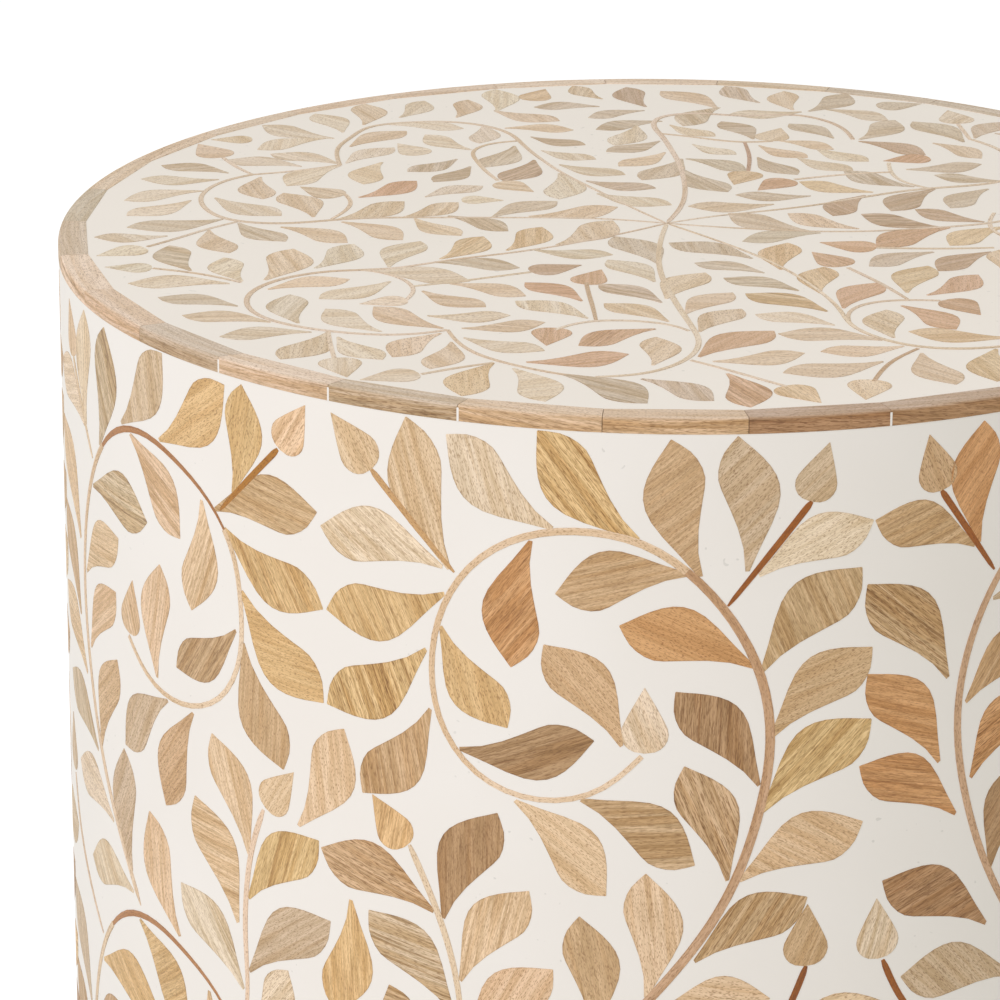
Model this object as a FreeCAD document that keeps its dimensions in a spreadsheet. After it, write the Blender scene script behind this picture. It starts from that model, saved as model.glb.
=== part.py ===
import FreeCAD, Part
import math
import os

# Drum side table: a wooden drum skinned with cast resin, with leaf inlay and rims of butted wood strips.
# Millimetres, +Z up, origin on the floor under the middle of the drum, front towards -Y.

doc = FreeCAD.newDocument("inlaid_drum_table")
sheet = doc.addObject("Spreadsheet::Sheet", "Sizes")

DIMENSIONS = (
    ("drum_diameter", 356),
    ("table_height", 457),
    ("resin_thickness", 3),
    ("glue_line", 0.15),
    ("wall_thickness", 5),
    ("wall_seam", 0.4),
    ("top_board_thickness", 18),
    ("base_board_thickness", 15),
    ("seat_clearance", 0.2),
    ("batten_count", 6),
    ("batten_width", 30),
    ("batten_depth", 20),
    ("housing_depth", 5),
    ("rim_width", 7.5),
    ("rim_height", 4.4),
    ("rim_strip_count", 30),
    ("rim_joint", 0.3),
    ("rim_first_joint", 1),
    ("pad_count", 6),
    ("pad_diameter", 24),
    ("pad_height", 3),
    ("pad_edge", 34),
    ("vine_width", 2.2),
    ("stem_width", 1.6),
)
for row, (alias, value) in enumerate(DIMENSIONS, start=1):
    sheet.set("A%d" % row, alias)
    sheet.set("B%d" % row, str(value))
    sheet.setAlias("B%d" % row, alias)
doc.recompute()


def size(alias):
    """The number that the sheet holds under this name."""
    return float(sheet.get(alias))


# Radii and levels that several pieces share, as rules on the sheet's cells.
RADIUS = "Sizes.drum_diameter / 2"
WALL_RADIUS = "(Sizes.drum_diameter / 2 - Sizes.resin_thickness - Sizes.glue_line)"
BOARD_RADIUS = "(%s - Sizes.wall_thickness - Sizes.seat_clearance)" % WALL_RADIUS
RIM_INNER = "(Sizes.drum_diameter / 2 - Sizes.rim_width)"
WALL_FOOT = "(Sizes.pad_height + Sizes.rim_height)"
WALL_HEIGHT = "(Sizes.table_height - Sizes.pad_height - 2 * Sizes.rim_height)"
BOARD_TOP = "(Sizes.table_height - Sizes.resin_thickness)"
BATTEN_FOOT = "(Sizes.pad_height + Sizes.base_board_thickness - Sizes.housing_depth)"
BATTEN_HEAD = "(%s - Sizes.top_board_thickness + Sizes.housing_depth)" % BOARD_TOP
BATTEN_FACE = "(sqrt((%s) ^ 2 - (Sizes.batten_width / 2) ^ 2))" % BOARD_RADIUS

Z_AXIS = FreeCAD.Vector(0, 0, 1)
FULL_TURN = 360


def bind(feature, rules):
    """Ties each named property to its rule."""
    for name, rule in rules.items():
        feature.setExpression(name, rule)
    return feature


def cylinder(name, radius, height, level, turn="360"):
    feature = doc.addObject("Part::Cylinder", name)
    return bind(feature, {"Radius": radius, "Height": height, "Angle": turn, "Placement.Base.z": level})


def box(name, length, width, height, start, level):
    """A block that runs outwards along +X from start, evenly about the XZ plane."""
    feature = doc.addObject("Part::Box", name)
    rules = {"Length": length, "Width": width, "Height": height}
    rules.update({"Placement.Base.x": start, "Placement.Base.y": "-(%s) / 2" % width,
                  "Placement.Base.z": level})
    return bind(feature, rules)


def cut(name, base, tool):
    result = doc.addObject("Part::Cut", name)
    result.Base = base
    result.Tool = tool
    return result


def group(name, features):
    """Separate solids that share one node."""
    bundle = doc.addObject("Part::Compound", name)
    bundle.Links = features
    return bundle


def turned(angle):
    """A turn about the drum's axis, in degrees."""
    return FreeCAD.Placement(FreeCAD.Vector(), FreeCAD.Rotation(Z_AXIS, angle))


def ring_of(name, master, count, first_angle):
    """Copies of one feature spaced evenly about the drum's axis."""
    doc.recompute()
    copies = []
    for index in range(count):
        copy = doc.addObject("Part::Feature", "%s_%d" % (name, index + 1))
        copy.Shape = master.Shape
        angle = first_angle + FULL_TURN * index / count
        copy.Placement = turned(angle).multiply(master.Placement)
        copies.append(copy)
    return copies


nodes = []


def node(label, feature):
    feature.Label = label
    nodes.append(feature)
    return feature


# Upright battens, whose ends stand in housings cut in the edges of the two boards.
BATTENS = int(size("batten_count"))
FIRST_BATTEN = FULL_TURN / BATTENS / 2

batten = box("batten", "Sizes.batten_depth", "Sizes.batten_width", "%s - %s" % (BATTEN_HEAD, BATTEN_FOOT),
             "%s - Sizes.batten_depth" % BATTEN_FACE, BATTEN_FOOT)
for index, upright in enumerate(ring_of("batten", batten, BATTENS, FIRST_BATTEN), start=1):
    node("upright_batten_%d" % index, upright)


def board(label, level, thickness, housing_level):
    """A round board with an open housing in its edge for each batten."""
    disc = cylinder(label + "_disc", BOARD_RADIUS, thickness, level)
    housing = box(label + "_housing", "Sizes.batten_depth + Sizes.wall_thickness + Sizes.seat_clearance",
                  "Sizes.batten_width + 2 * Sizes.seat_clearance", "Sizes.housing_depth",
                  "%s - Sizes.batten_depth - Sizes.seat_clearance" % BATTEN_FACE, housing_level)
    housings = group(label + "_housings", ring_of(label + "_housing", housing, BATTENS, FIRST_BATTEN))
    node(label, cut(label, disc, housings))


board("top_board", "%s - Sizes.top_board_thickness" % BOARD_TOP, "Sizes.top_board_thickness",
      "%s - Sizes.top_board_thickness" % BOARD_TOP)
board("base_board", "Sizes.pad_height", "Sizes.base_board_thickness", BATTEN_FOOT)

# The bent wall in two halves round boards and battens, with its seams on battens.
HALF_TURN = "(180 - Sizes.wall_seam / %s * 180 / pi)" % WALL_RADIUS
wall_outside = cylinder("wall_outside", WALL_RADIUS, WALL_HEIGHT, WALL_FOOT, HALF_TURN)
wall_inside = cylinder("wall_inside", "%s - Sizes.wall_thickness" % WALL_RADIUS, WALL_HEIGHT, WALL_FOOT)
wall_half = cut("wall_half", wall_outside, wall_inside)
for label, half in zip(("back_wall", "front_wall"), ring_of("wall", wall_half, 2, FIRST_BATTEN)):
    node(label, half)

# Felt pads under the base board, that the drum stands on.
pad = cylinder("pad", "Sizes.pad_diameter / 2", "Sizes.pad_height", "0")
bind(pad, {"Placement.Base.x": "Sizes.drum_diameter / 2 - Sizes.pad_edge"})
node("floor_pads", group("floor_pads", ring_of("pad", pad, int(size("pad_count")), 0)))

# Side resin: one cast skin round the wall, from rim to rim.
skin_outside = cylinder("skin_outside", RADIUS, WALL_HEIGHT, WALL_FOOT)
skin_inside = cylinder("skin_inside", "%s - Sizes.resin_thickness" % RADIUS, WALL_HEIGHT, WALL_FOOT)
node("side_resin", cut("side_resin", skin_outside, skin_inside))

# Rims: strips with a round outer edge and a straight inner edge, butted end to end.
STRIPS = int(size("rim_strip_count"))
JOINT_ANGLE = "(Sizes.rim_joint / (%s) * 180 / pi)" % RADIUS


def rim_strips(name, level):
    wedge = cylinder(name + "_wedge", RADIUS, "Sizes.rim_height", level,
                     "360 / Sizes.rim_strip_count - %s" % JOINT_ANGLE)
    inside = box(name + "_inside", RIM_INNER, RIM_INNER, "Sizes.rim_height", "0", level)
    doc.recompute()
    chord, = ring_of(name + "_chord", inside, 1, wedge.Angle.Value / 2)
    return ring_of(name, cut(name + "_master", wedge, chord), STRIPS, size("rim_first_joint"))


for index, strip in enumerate(rim_strips("top_rim", "Sizes.table_height - Sizes.rim_height"), start=1):
    node("top_rim_strip_%02d" % index, strip)
node("bottom_rim_strips", group("bottom_rim_strips", rim_strips("bottom_rim", "Sizes.pad_height")))


# Top inlay. The drawing is seen from above, in units of which 95.8 reach from the middle to the rim. One
# sector of it is drawn, its mirror image stands beside it, and the pair goes round the top in quarter turns.
QUARTER_TURNS = 4
SPOKES = 8
MIRROR_LINE = math.radians(-72.5)
UNIT = (size("drum_diameter") / 2 - size("rim_width")) / 95.8
HUB = (size("vine_width") / 2 + size("glue_line")) / math.sin(math.pi / SPOKES) / UNIT

SPOKE = ((0, -HUB), (-1.0, -8), (-1.5, -18), (-1.0, -28), (0.2, -37), (1.8, -47), (3.7, -56), (5.0, -64),
         (4.3, -70), (1.0, -75.3), (-4.5, -79.2), (-10.5, -80.2), (-17, -78.2), (-24, -73.8),
         (-29, -68.3), (-31.3, -64.5))
CURL = ((1.8, -54.3), (-1.5, -52.6), (-7, -51.7), (-12.5, -53.1), (-16.6, -56.6))
INNER_STEM = ((-10.9, -50.7), (-11.6, -43), (-12.8, -33))
OUTER_STEM = ((4.9, -72.6), (11.5, -77.6), (17.6, -83))
RIM_STEM = ((-26.4, -74.8), (-36, -79.7))

# Leaves: base, tip, and +1 where the fuller side lies to the left of the way from base to tip.
RING_LEAVES = (
    ((-3.4, -54.8), (-13.3, -65.3), -1),
    ((-1.0, -75), (-1.5, -60), -1),
    ((-20.6, -74.6), (-5.7, -69.2), -1),
    ((6.0, -69.8), (16.5, -56.2), 1),
    ((7.9, -72.6), (20, -66.3), 1),
    ((10.6, -78.4), (12.5, -93.6), 1),
    ((-3.6, -81.2), (7.4, -91.8), 1),
    ((-14.6, -80.4), (-3, -93.3), 1),
    ((-22.4, -76.6), (-17.8, -92.7), 1),
    ((-26.4, -77.6), (-30, -90.6), -1),
    ((-12.2, -49.6), (-21.6, -43.6), -1),
    ((-27.6, -56.6), (-18.6, -51.4), -1),
    ((-28.8, -62.8), (-18.6, -67), -1),
)
NEAR_SPOKE_LEAVES = (
    ((-13.2, -41.6), (-22.5, -33), -1),
    ((-2.9, -19.4), (-7.6, -9.2), -1),
    ((-2.2, -31), (-9.3, -18.5), -1),
    ((-1.0, -42), (-10.3, -32.8), -1),
    ((0.3, -52), (-10, -43.2), -1),
    ((1.4, -38), (7, -25), 1),
    ((3.2, -48), (10.8, -36), 1),
    ((5.2, -58), (11.5, -44.5), 1),
)
FAR_SPOKE_LEAVES = (
    ((10.9, -15.2), (0.9, -9.2), -1),
    ((15, -24.2), (3.9, -20.2), -1),
    ((20.6, -34.2), (9, -28.4), -1),
    ((24.8, -44.2), (12.4, -37.3), -1),
    ((28.2, -53.6), (13.6, -47.8), -1),
    ((17.8, -22.2), (19.8, -11.3), 1),
    ((24.2, -34.6), (25.5, -21.4), 1),
)
# Buds: the end on the stem, and the pointed tip.
BUDS = (
    ((-17.3, -57.4), (-17.9, -66.5)),
    ((-12.7, -32.2), (-10.3, -24.3)),
    ((18.2, -83.4), (23.3, -91)),
)
RIM_BUD = ((-36.6, -80), (-44.4, -83.4))

# Outlines as shares of a piece's length: how far along, and how far out to its fuller or flatter side.
LEAF_FULL = ((0.42, 0.195), (0.76, 0.20))
LEAF_FLAT = (0.63, -0.145)
BUD_SIDE = ((0.06, 0.22), (0.38, 0.36))


def drawn(point, mirrored):
    """A point of the drawing in millimetres, on its own sector or on the mirror image's."""
    x, y = point
    if mirrored:
        turn = 2 * MIRROR_LINE
        x, y = x * math.cos(turn) + y * math.sin(turn), x * math.sin(turn) - y * math.cos(turn)
    return FreeCAD.Vector(x * UNIT, y * UNIT, 0)


def closed(corners):
    return Part.makePolygon(corners + corners[:1])


def along_line(base, tip, outline):
    """A closed outline whose points are given along and across the line from base to tip."""
    along = tip - base
    across = FreeCAD.Vector(-along.y, along.x, 0)
    return closed([base + along * far + across * out for far, out in outline])


def leaf_outline(leaf, mirrored):
    base, tip, hand = leaf
    side = -hand if mirrored else hand
    outline = ((0, 0),) + LEAF_FULL + ((1, 0), LEAF_FLAT)
    handed = [(far, side * out) for far, out in outline]
    return along_line(drawn(base, mirrored), drawn(tip, mirrored), handed)


def bud_outline(bud, mirrored):
    base, tip = bud
    back = tuple((far, -out) for far, out in reversed(BUD_SIDE))
    return along_line(drawn(base, mirrored), drawn(tip, mirrored), BUD_SIDE + ((1, 0),) + back)


def vine_outline(points, mirrored, width):
    """A strip of even width along a smooth line through the points, straight from one to the next."""
    stops = [drawn(point, mirrored) for point in points]
    line = Part.BSplineCurve()
    line.interpolate(stops)
    left_edge = []
    right_edge = []
    for stop in stops:
        heading = line.tangent(line.parameter(stop))[0]
        half_width = FreeCAD.Vector(-heading.y, heading.x, 0) * width / 2
        left_edge.append(stop + half_width)
        right_edge.append(stop - half_width)
    return closed(left_edge + right_edge[::-1])


def all_round(outlines):
    """The outlines at the top board's level, repeated in quarter turns."""
    copies = []
    for outline in outlines:
        for quarter in range(QUARTER_TURNS):
            copy = outline.copy()
            copy.rotate(FreeCAD.Vector(), Z_AXIS, FULL_TURN * quarter / QUARTER_TURNS)
            copy.translate(FreeCAD.Vector(0, 0, size("table_height") - size("resin_thickness")))
            copies.append(copy)
    return Part.makeCompound(copies)


def thickened(name, flat):
    """A solid of the resin's thickness over flat outlines or a flat face."""
    solid = doc.addObject("Part::Extrusion", name)
    solid.Base = flat
    solid.DirMode = "Custom"
    solid.Dir = Z_AXIS
    solid.Solid = True
    return bind(solid, {"LengthFwd": "Sizes.resin_thickness"})


def inlay_node(label, outlines):
    flat = doc.addObject("Part::Feature", label + "_outlines")
    flat.Shape = all_round(outlines)
    node(label, thickened(label, flat))
    return flat


BOTH = (False, True)
leaves = [leaf_outline(leaf, mirrored) for mirrored in BOTH for leaf in RING_LEAVES]
leaves += [leaf_outline(leaf, False) for leaf in NEAR_SPOKE_LEAVES + FAR_SPOKE_LEAVES]
buds = [bud_outline(bud, mirrored) for mirrored in BOTH for bud in BUDS] + [bud_outline(RIM_BUD, False)]
vines = [vine_outline(SPOKE, mirrored, size("vine_width")) for mirrored in BOTH]
stems = [vine_outline(line, mirrored, size("stem_width"))
         for mirrored in BOTH for line in (CURL, INNER_STEM, OUTER_STEM)]
stems.append(vine_outline(RIM_STEM, False, size("stem_width")))
sockets = [inlay_node("top_leaves", leaves), inlay_node("top_buds", buds),
           inlay_node("top_vines", vines), inlay_node("top_stems", stems)]

# Top resin: a plate whose corners meet the joints of the rim, poured round the inlay.
plate_edge = doc.addObject("Part::RegularPolygon", "resin_plate_edge")
plate_edge.Polygon = STRIPS
bind(plate_edge, {"Circumradius": "(%s - Sizes.glue_line) / cos(180 / Sizes.rim_strip_count)" % RIM_INNER,
                  "Placement.Base.z": BOARD_TOP})
plate_edge.Placement = turned(size("rim_first_joint"))
doc.recompute()
plate_face = doc.addObject("Part::Feature", "resin_plate_face")
edges = [wire for flat in [plate_edge] + sockets for wire in flat.Shape.Wires]
plate_face.Shape = Part.makeFace(edges, "Part::FaceMakerCheese")
node("top_resin", thickened("top_resin", plate_face))

doc.recompute()
for feature in doc.Objects:
    if "Invalid" in feature.State or "Error" in feature.State:
        raise RuntimeError("%s did not build" % feature.Label)
for feature in nodes:
    if feature.Shape.isNull() or not feature.Shape.isValid():
        raise RuntimeError("%s has no sound solid" % feature.Label)

os.makedirs("parts", exist_ok=True)
for feature in nodes:
    feature.Shape.exportStep("parts/%s.step" % feature.Label)
print(len(nodes), "nodes,", sum(len(feature.Shape.Solids) for feature in nodes), "solids")
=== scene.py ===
# %% [markdown]
# # A drum side table with a leafy wood inlay
# The table is a wooden drum skinned in off-white resin. Thin slips of wood in many tones are set into
# the resin as vines, leaves and buds, and sanded flush with it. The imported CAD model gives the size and
# the hidden structure. This lesson dresses it: it draws the inlay as smooth slips, gives every slip its
# own grain, and lights the drum as in a plain photo studio.

# %% Load the frame
import bpy
import math
import numpy as np
from mathutils import Matrix, Vector


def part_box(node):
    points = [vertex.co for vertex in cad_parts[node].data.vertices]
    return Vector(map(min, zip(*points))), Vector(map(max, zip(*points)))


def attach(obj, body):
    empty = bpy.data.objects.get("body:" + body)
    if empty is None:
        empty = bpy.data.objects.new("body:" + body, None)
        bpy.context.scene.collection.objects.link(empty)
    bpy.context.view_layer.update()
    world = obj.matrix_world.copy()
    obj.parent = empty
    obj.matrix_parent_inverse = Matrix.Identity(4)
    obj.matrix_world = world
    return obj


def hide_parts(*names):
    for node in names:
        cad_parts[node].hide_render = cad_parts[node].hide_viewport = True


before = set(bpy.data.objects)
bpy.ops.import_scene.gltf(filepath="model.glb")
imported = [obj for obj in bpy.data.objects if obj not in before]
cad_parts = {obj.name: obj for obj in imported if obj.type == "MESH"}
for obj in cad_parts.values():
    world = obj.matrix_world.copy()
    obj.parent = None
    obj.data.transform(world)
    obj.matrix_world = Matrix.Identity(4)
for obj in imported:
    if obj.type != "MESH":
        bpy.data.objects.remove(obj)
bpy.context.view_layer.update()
print("frame loaded, nodes:", len(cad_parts))

# %% [markdown]
# ## Sizes that come from the frame
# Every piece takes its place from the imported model, so nothing has to be fitted by hand. The drawing of
# the inlay is measured in hundredths of the drum's radius, because that is how it was read: one unit is
# the same length round the side, up the side and across the top.

# %% Sizes
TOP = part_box("top_resin")[1].z
RIM_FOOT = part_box("top_rim_strip_01")[0].z
LOWER_RIM_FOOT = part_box("bottom_rim_strips")[0].z
LOWER_RIM_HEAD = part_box("bottom_rim_strips")[1].z
RADIUS = round(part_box("bottom_rim_strips")[1].x, 4)
UNIT = RADIUS / 100
FIELD_FOOT = (LOWER_RIM_HEAD - TOP) / UNIT
MM = 0.001
print("drum radius", RADIUS, "top", round(TOP, 4), "drawing ends at", round(FIELD_FOOT, 2))

# %% [markdown]
# ## Wood tones
# The slips are offcuts of a few pale woods, so neighbours differ: some are pinkish, some honey, some
# grey or brown. A tone is written as it would be picked on a screen and turned into linear light, which
# is what a shader works in.

# %% Tones
def tone(red, green, blue):
    """Screen values 0 to 255 as linear light: the low end divided by 12.92, the rest a power of 2.4."""
    screen = np.array([red, green, blue]) / 255
    return np.where(screen < 0.04045, screen / 12.92, ((screen + 0.055) / 1.055) ** 2.4)


WOODS = {
    "pale": tone(219, 196, 164),
    "pink": tone(215, 184, 145),
    "honey": tone(210, 174, 121),
    "tan": tone(194, 160, 118),
    "orange": tone(199, 149, 97),
    "grey": tone(198, 172, 138),
    "brown": tone(168, 130, 90),
    "hazel": tone(183, 144, 99),
    "light_strip": tone(217, 190, 157),
    "tan_strip": tone(195, 156, 120),
    "honey_strip": tone(189, 147, 96),
    "gold_strip": tone(163, 108, 36),
    "red_strip": tone(172, 122, 74),
    "dark_strip": tone(143, 81, 18),
    "rim_rose": tone(214, 183, 151),
    "rim_sand": tone(205, 174, 138),
    "rim_grey": tone(188, 163, 131),
    "rim_tan": tone(200, 167, 126),
    "rim_brown": tone(165, 126, 86),
}
chance = np.random.default_rng(7)
print("woods:", ", ".join(WOODS))

# %% [markdown]
# ## Wood finish
# A slip shows streaks along its grain, broader bands and thin dark lines where the wood changes, and short
# dashes where the saw opened its pores. All of these are noise, stretched along the grain. They make the
# slip lighter here and darker there, so that on the whole it keeps its tone. A slip carries its own grain
# direction in an attribute, so that each one looks cut from another place of the board. A second attribute
# holds the tone and, as its alpha, how strongly the wood is figured. A third tells how near a point is to
# the slip's edge, and the slip is drawn darker right at its edge.

# %% Node helpers
def node_tools(tree):
    """Two short ways to work on a node tree: add a node, and fill a node's sockets with values or links."""
    def fill(node, sources):
        for socket, source in sources.items():
            if hasattr(source, "is_output"):
                tree.links.new(source, node.inputs[socket])
            else:
                node.inputs[socket].default_value = source

    def add(kind, sources=None, **settings):
        node = tree.nodes.new(kind)
        for key, value in settings.items():
            setattr(node, key, value)
        fill(node, sources or {})
        return node

    return add, fill


def new_material(name):
    """An empty material, a way to add nodes to it, and a way to feed its Principled shader."""
    material = bpy.data.materials.new(name)
    material.use_nodes = True
    add, fill = node_tools(material.node_tree)
    shader = material.node_tree.nodes["Principled BSDF"]
    return material, add, lambda sources: fill(shader, sources)


def stretched_noise(add, place, stretch, detail, distortion=0.0):
    """Noise read at the place times a stretch per axis, so that it runs long where the stretch is small."""
    spread = add("ShaderNodeVectorMath", {0: place, 1: stretch}, operation="MULTIPLY")
    noise = add("ShaderNodeTexNoise", {"Vector": spread.outputs[0], "Scale": 1.0, "Detail": detail,
                                       "Roughness": 0.6, "Distortion": distortion})
    return noise.outputs["Fac"]


def own_noise(add, stretch, detail, distortion=0.0):
    """Stretched noise that is read at the piece's own coordinates, in metres."""
    return stretched_noise(add, add("ShaderNodeTexCoord").outputs["Object"], stretch, detail, distortion)


def between(add, value, low, high, start=0.0, end=1.0):
    """The value moved from the range low..high to start..end, with soft ends."""
    ramp = add("ShaderNodeMapRange", {"Value": value, "From Min": low, "From Max": high,
                                      "To Min": start, "To Max": end}, interpolation_type="SMOOTHSTEP")
    return ramp.outputs["Result"]


def mixed(add, share, first, second, blend="MIX"):
    """Two colours mixed by a share."""
    mix = add("ShaderNodeMix", {"Factor": share, 6: first, 7: second}, data_type="RGBA", blend_type=blend)
    return mix.outputs[2]


def tinted(add, colour, tint):
    """A colour times a factor per channel."""
    return mixed(add, 1.0, colour, (*tint, 1), "MULTIPLY")


def times(add, first, second):
    """The product of two values."""
    return add("ShaderNodeMath", {0: first, 1: second}, operation="MULTIPLY").outputs[0]


def larger(add, first, second):
    """The larger of two values."""
    return add("ShaderNodeMath", {0: first, 1: second}, operation="MAXIMUM").outputs[0]


def bumped(add, height, strength, distance, invert=False):
    """The surface's direction, leaning as if the height rose out of it, or sank into it if inverted."""
    sources = {"Strength": strength, "Distance": distance, "Height": height}
    return add("ShaderNodeBump", sources, invert=invert).outputs["Normal"]


print("node helpers ready")

# %% Wood of the slips
GRAIN_MARKS = {
    # stretch along and across the grain, detail, distortion, where the mark starts, where it is full
    "bands": ((14, 250, 1), 2.0, 0.8, 0.42, 0.62),
    "lines": ((32, 1150, 1), 1.0, 0.3, 0.59, 0.66),
    "streaks": ((60, 1300, 1), 3.0, 0.25, 0.35, 0.65),
    "dashes": ((430, 4600, 1), 1.0, 0.0, 0.52, 0.63),
    "pores": ((1100, 4400, 1), 0.0, 0.0, 0.58, 0.68),
}
TINTS = {
    "plain": (1.20, 1.23, 1.26), "dark streak": (0.97, 0.95, 0.86), "light streak": (1.42, 1.49, 1.61),
    "bands": (0.81, 0.72, 0.57), "lines": (0.66, 0.57, 0.45), "dashes": (0.52, 0.44, 0.34),
    "pores": (0.50, 0.40, 0.31), "edge": (0.50, 0.42, 0.34),
}


def slip_wood(name, gloss, streakiness):
    """Wood read from the attributes tone (alpha = figure), grain (metres along and across the grain) and
    edge: tone x streaks x bands x lines x dashes x pores, darker at the very edge. A slip with little figure
    has faint streaks and round pores, one with much has lines and dashes."""
    material, add, feed = new_material(name)
    grain = add("ShaderNodeAttribute", attribute_name="grain").outputs["Vector"]
    slip = add("ShaderNodeAttribute", attribute_name="tone")
    base, figure = slip.outputs["Color"], slip.outputs["Alpha"]
    edge = add("ShaderNodeAttribute", attribute_name="edge").outputs["Fac"]
    marks = {}
    for kind, (stretch, detail, distortion, low, high) in GRAIN_MARKS.items():
        marks[kind] = between(add, stretched_noise(add, grain, stretch, detail, distortion), low, high)

    def by_figure(without, with_full):
        return between(add, figure, 0.0, 1.0, without, with_full)

    streaked = mixed(add, marks["streaks"], tinted(add, base, TINTS["dark streak"]),
                     tinted(add, base, TINTS["light streak"]))
    colour = mixed(add, by_figure(streakiness, 1.0), tinted(add, base, TINTS["plain"]), streaked)
    shares = {
        "bands": times(add, marks["bands"], by_figure(0.6, 1.0)),
        "lines": times(add, marks["lines"], figure),
        "dashes": times(add, marks["dashes"], figure),
        "pores": times(add, marks["pores"], by_figure(0.75, 0.0)),
        "edge": between(add, edge, 0.94, 1.0, 0.0, 0.45),
    }
    for kind, share in shares.items():
        colour = mixed(add, share, colour, tinted(add, colour, TINTS[kind]))
    feed({"Base Color": colour,
          "Roughness": between(add, marks["streaks"], 0.0, 1.0, gloss + 0.08, gloss),
          "Normal": bumped(add, marks["dashes"], 0.25, 0.1 * MM, invert=True)})
    return material


leaf_wood = slip_wood("leaf_wood", gloss=0.46, streakiness=0.55)
top_wood = slip_wood("top_wood", gloss=0.46, streakiness=0.2)
vine_wood = slip_wood("vine_wood", gloss=0.48, streakiness=0.15)
rim_wood = slip_wood("rim_wood", gloss=0.44, streakiness=0.30)
print("wood finishes:", leaf_wood.name, top_wood.name, vine_wood.name, rim_wood.name)

# %% [markdown]
# ## Resin finish
# The resin is an off-white filler, sanded to a satin. Up close it is not one colour: it clouds a little,
# and here and there a few small air bells, opened by the sanding, show as faint grey pits. Slow noise
# makes the clouds. The highest spots of a fine noise make the pits, and only where another slow noise is
# high, because bells rise in groups. The top's resin is a touch warmer than the side's.

# %% Resin
RESIN_DARK, RESIN_LIGHT = (0.868, 0.815, 0.725, 1), (0.895, 0.848, 0.765, 1)
PIT_COLOUR = (0.45, 0.43, 0.36, 1)
PIT_SHARE = 0.3
SIDE_WARMTH, TOP_WARMTH = (1, 1, 1), (1.025, 1.0, 0.98)


def resin_finish(name, warmth):
    """Off-white times a warmth per channel, with slow clouds, sparse groups of pits and a varying satin."""
    material, add, feed = new_material(name)
    clouds = own_noise(add, (9, 9, 9), 3.0)
    groups = between(add, own_noise(add, (26, 26, 26), 1.0), 0.54, 0.62)
    bells = between(add, own_noise(add, (640, 640, 640), 0.0), 0.80, 0.84)
    pits = times(add, times(add, groups, bells), PIT_SHARE)
    sheet = mixed(add, between(add, clouds, 0.3, 0.7), RESIN_DARK, RESIN_LIGHT)
    feed({"Base Color": mixed(add, pits, tinted(add, sheet, warmth), PIT_COLOUR),
          "Roughness": between(add, clouds, 0.3, 0.7, 0.36, 0.46), "Specular IOR Level": 0.4,
          "Normal": bumped(add, own_noise(add, (38, 38, 38), 2.0), 0.15, 0.3 * MM)})
    return material


resin = resin_finish("resin", SIDE_WARMTH)
top_resin = resin_finish("top_resin", TOP_WARMTH)
print("resin finishes:", resin.name, top_resin.name)

# %% [markdown]
# ## Slips as grids
# A slip is a thin solid: a front that follows the drum, the same shape behind it, and a wall between. On
# a grid of two parameters, along the slip and across it, all slips of a kind are one array, and their
# faces are the same few index patterns shifted from slip to slip. A front face alone would do for the
# picture, but a closed solid is what the real slip is.

# %% Closed slips
SHARP_EDGE = math.radians(30)


def slip_faces(slips, along, across):
    """Quads of closed slips: the front grid, the grid behind it turned round, and the wall between."""
    index = np.arange(along * across).reshape(along, across)
    behind = along * across
    front = np.stack([index[:-1, :-1], index[1:, :-1], index[1:, 1:], index[:-1, 1:]], axis=-1)
    front = front.reshape(-1, 4)
    border = np.concatenate([index[:-1, 0], index[-1, :-1], index[:0:-1, -1], index[0, :0:-1]])
    onward = np.roll(border, -1)
    wall = np.stack([border, border + behind, onward + behind, onward], axis=-1)
    one_slip = np.concatenate([front, front[:, ::-1] + behind, wall])
    return (one_slip + 2 * behind * np.arange(slips)[:, None, None]).reshape(-1, 4)


def make_piece(name, points, faces, material, attributes=None):
    """A piece at the origin: points and faces in one mesh, with its attributes, on the root body."""
    mesh = bpy.data.meshes.new(name)
    mesh.from_pydata(points.reshape(-1, 3).tolist(), [], [list(face) for face in faces])
    for label, (kind, field, values) in (attributes or {}).items():
        layer = mesh.attributes.new(label, kind, "POINT")
        layer.data.foreach_set(field, np.ascontiguousarray(values, dtype=np.float32).ravel())
    mesh.shade_smooth()
    mesh.set_sharp_from_angle(angle=SHARP_EDGE)
    mesh.materials.append(material)
    piece = bpy.data.objects.new(name, mesh)
    bpy.context.scene.collection.objects.link(piece)
    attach(piece, "root")
    print(name, "faces:", len(mesh.polygons))
    return piece


print("faces of a slip of 2 by 2 points:", len(slip_faces(1, 2, 2)))

# %% [markdown]
# ## From the drawing to the table
# The drawing is flat. On the side its width becomes an angle round the drum and its height stays height.
# On the top it lies as drawn. Each kind of slip stops at its own tiny depth under the true surface, so
# where a vine crosses the foot of a leaf, the vine shows, and the resin lies lowest of all. Two leaves or
# two stems that cross must not lie in one plane either, or the picture gets black spots there, so the depths
# of one kind differ by thousandths of a millimetre.

# %% Two surfaces for one drawing
RESIN_DEPTH = 0.12 * MM
SLIP_THICKNESS = 1.5 * MM
LEAF_DEPTH = 0.02 * MM
LEAF_SPREAD = 0.016 * MM
STRIP_SPREAD = 0.004 * MM
GOLDEN = 0.618


def on_side(points, depth):
    """Round the drum: angle = width / 100, distance from the axis = radius - depth, level = top + height."""
    angle = points[..., 0] / 100
    reach = RADIUS - depth
    return np.stack([reach * np.sin(angle), -reach * np.cos(angle), TOP + points[..., 1] * UNIT], axis=-1)


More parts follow.
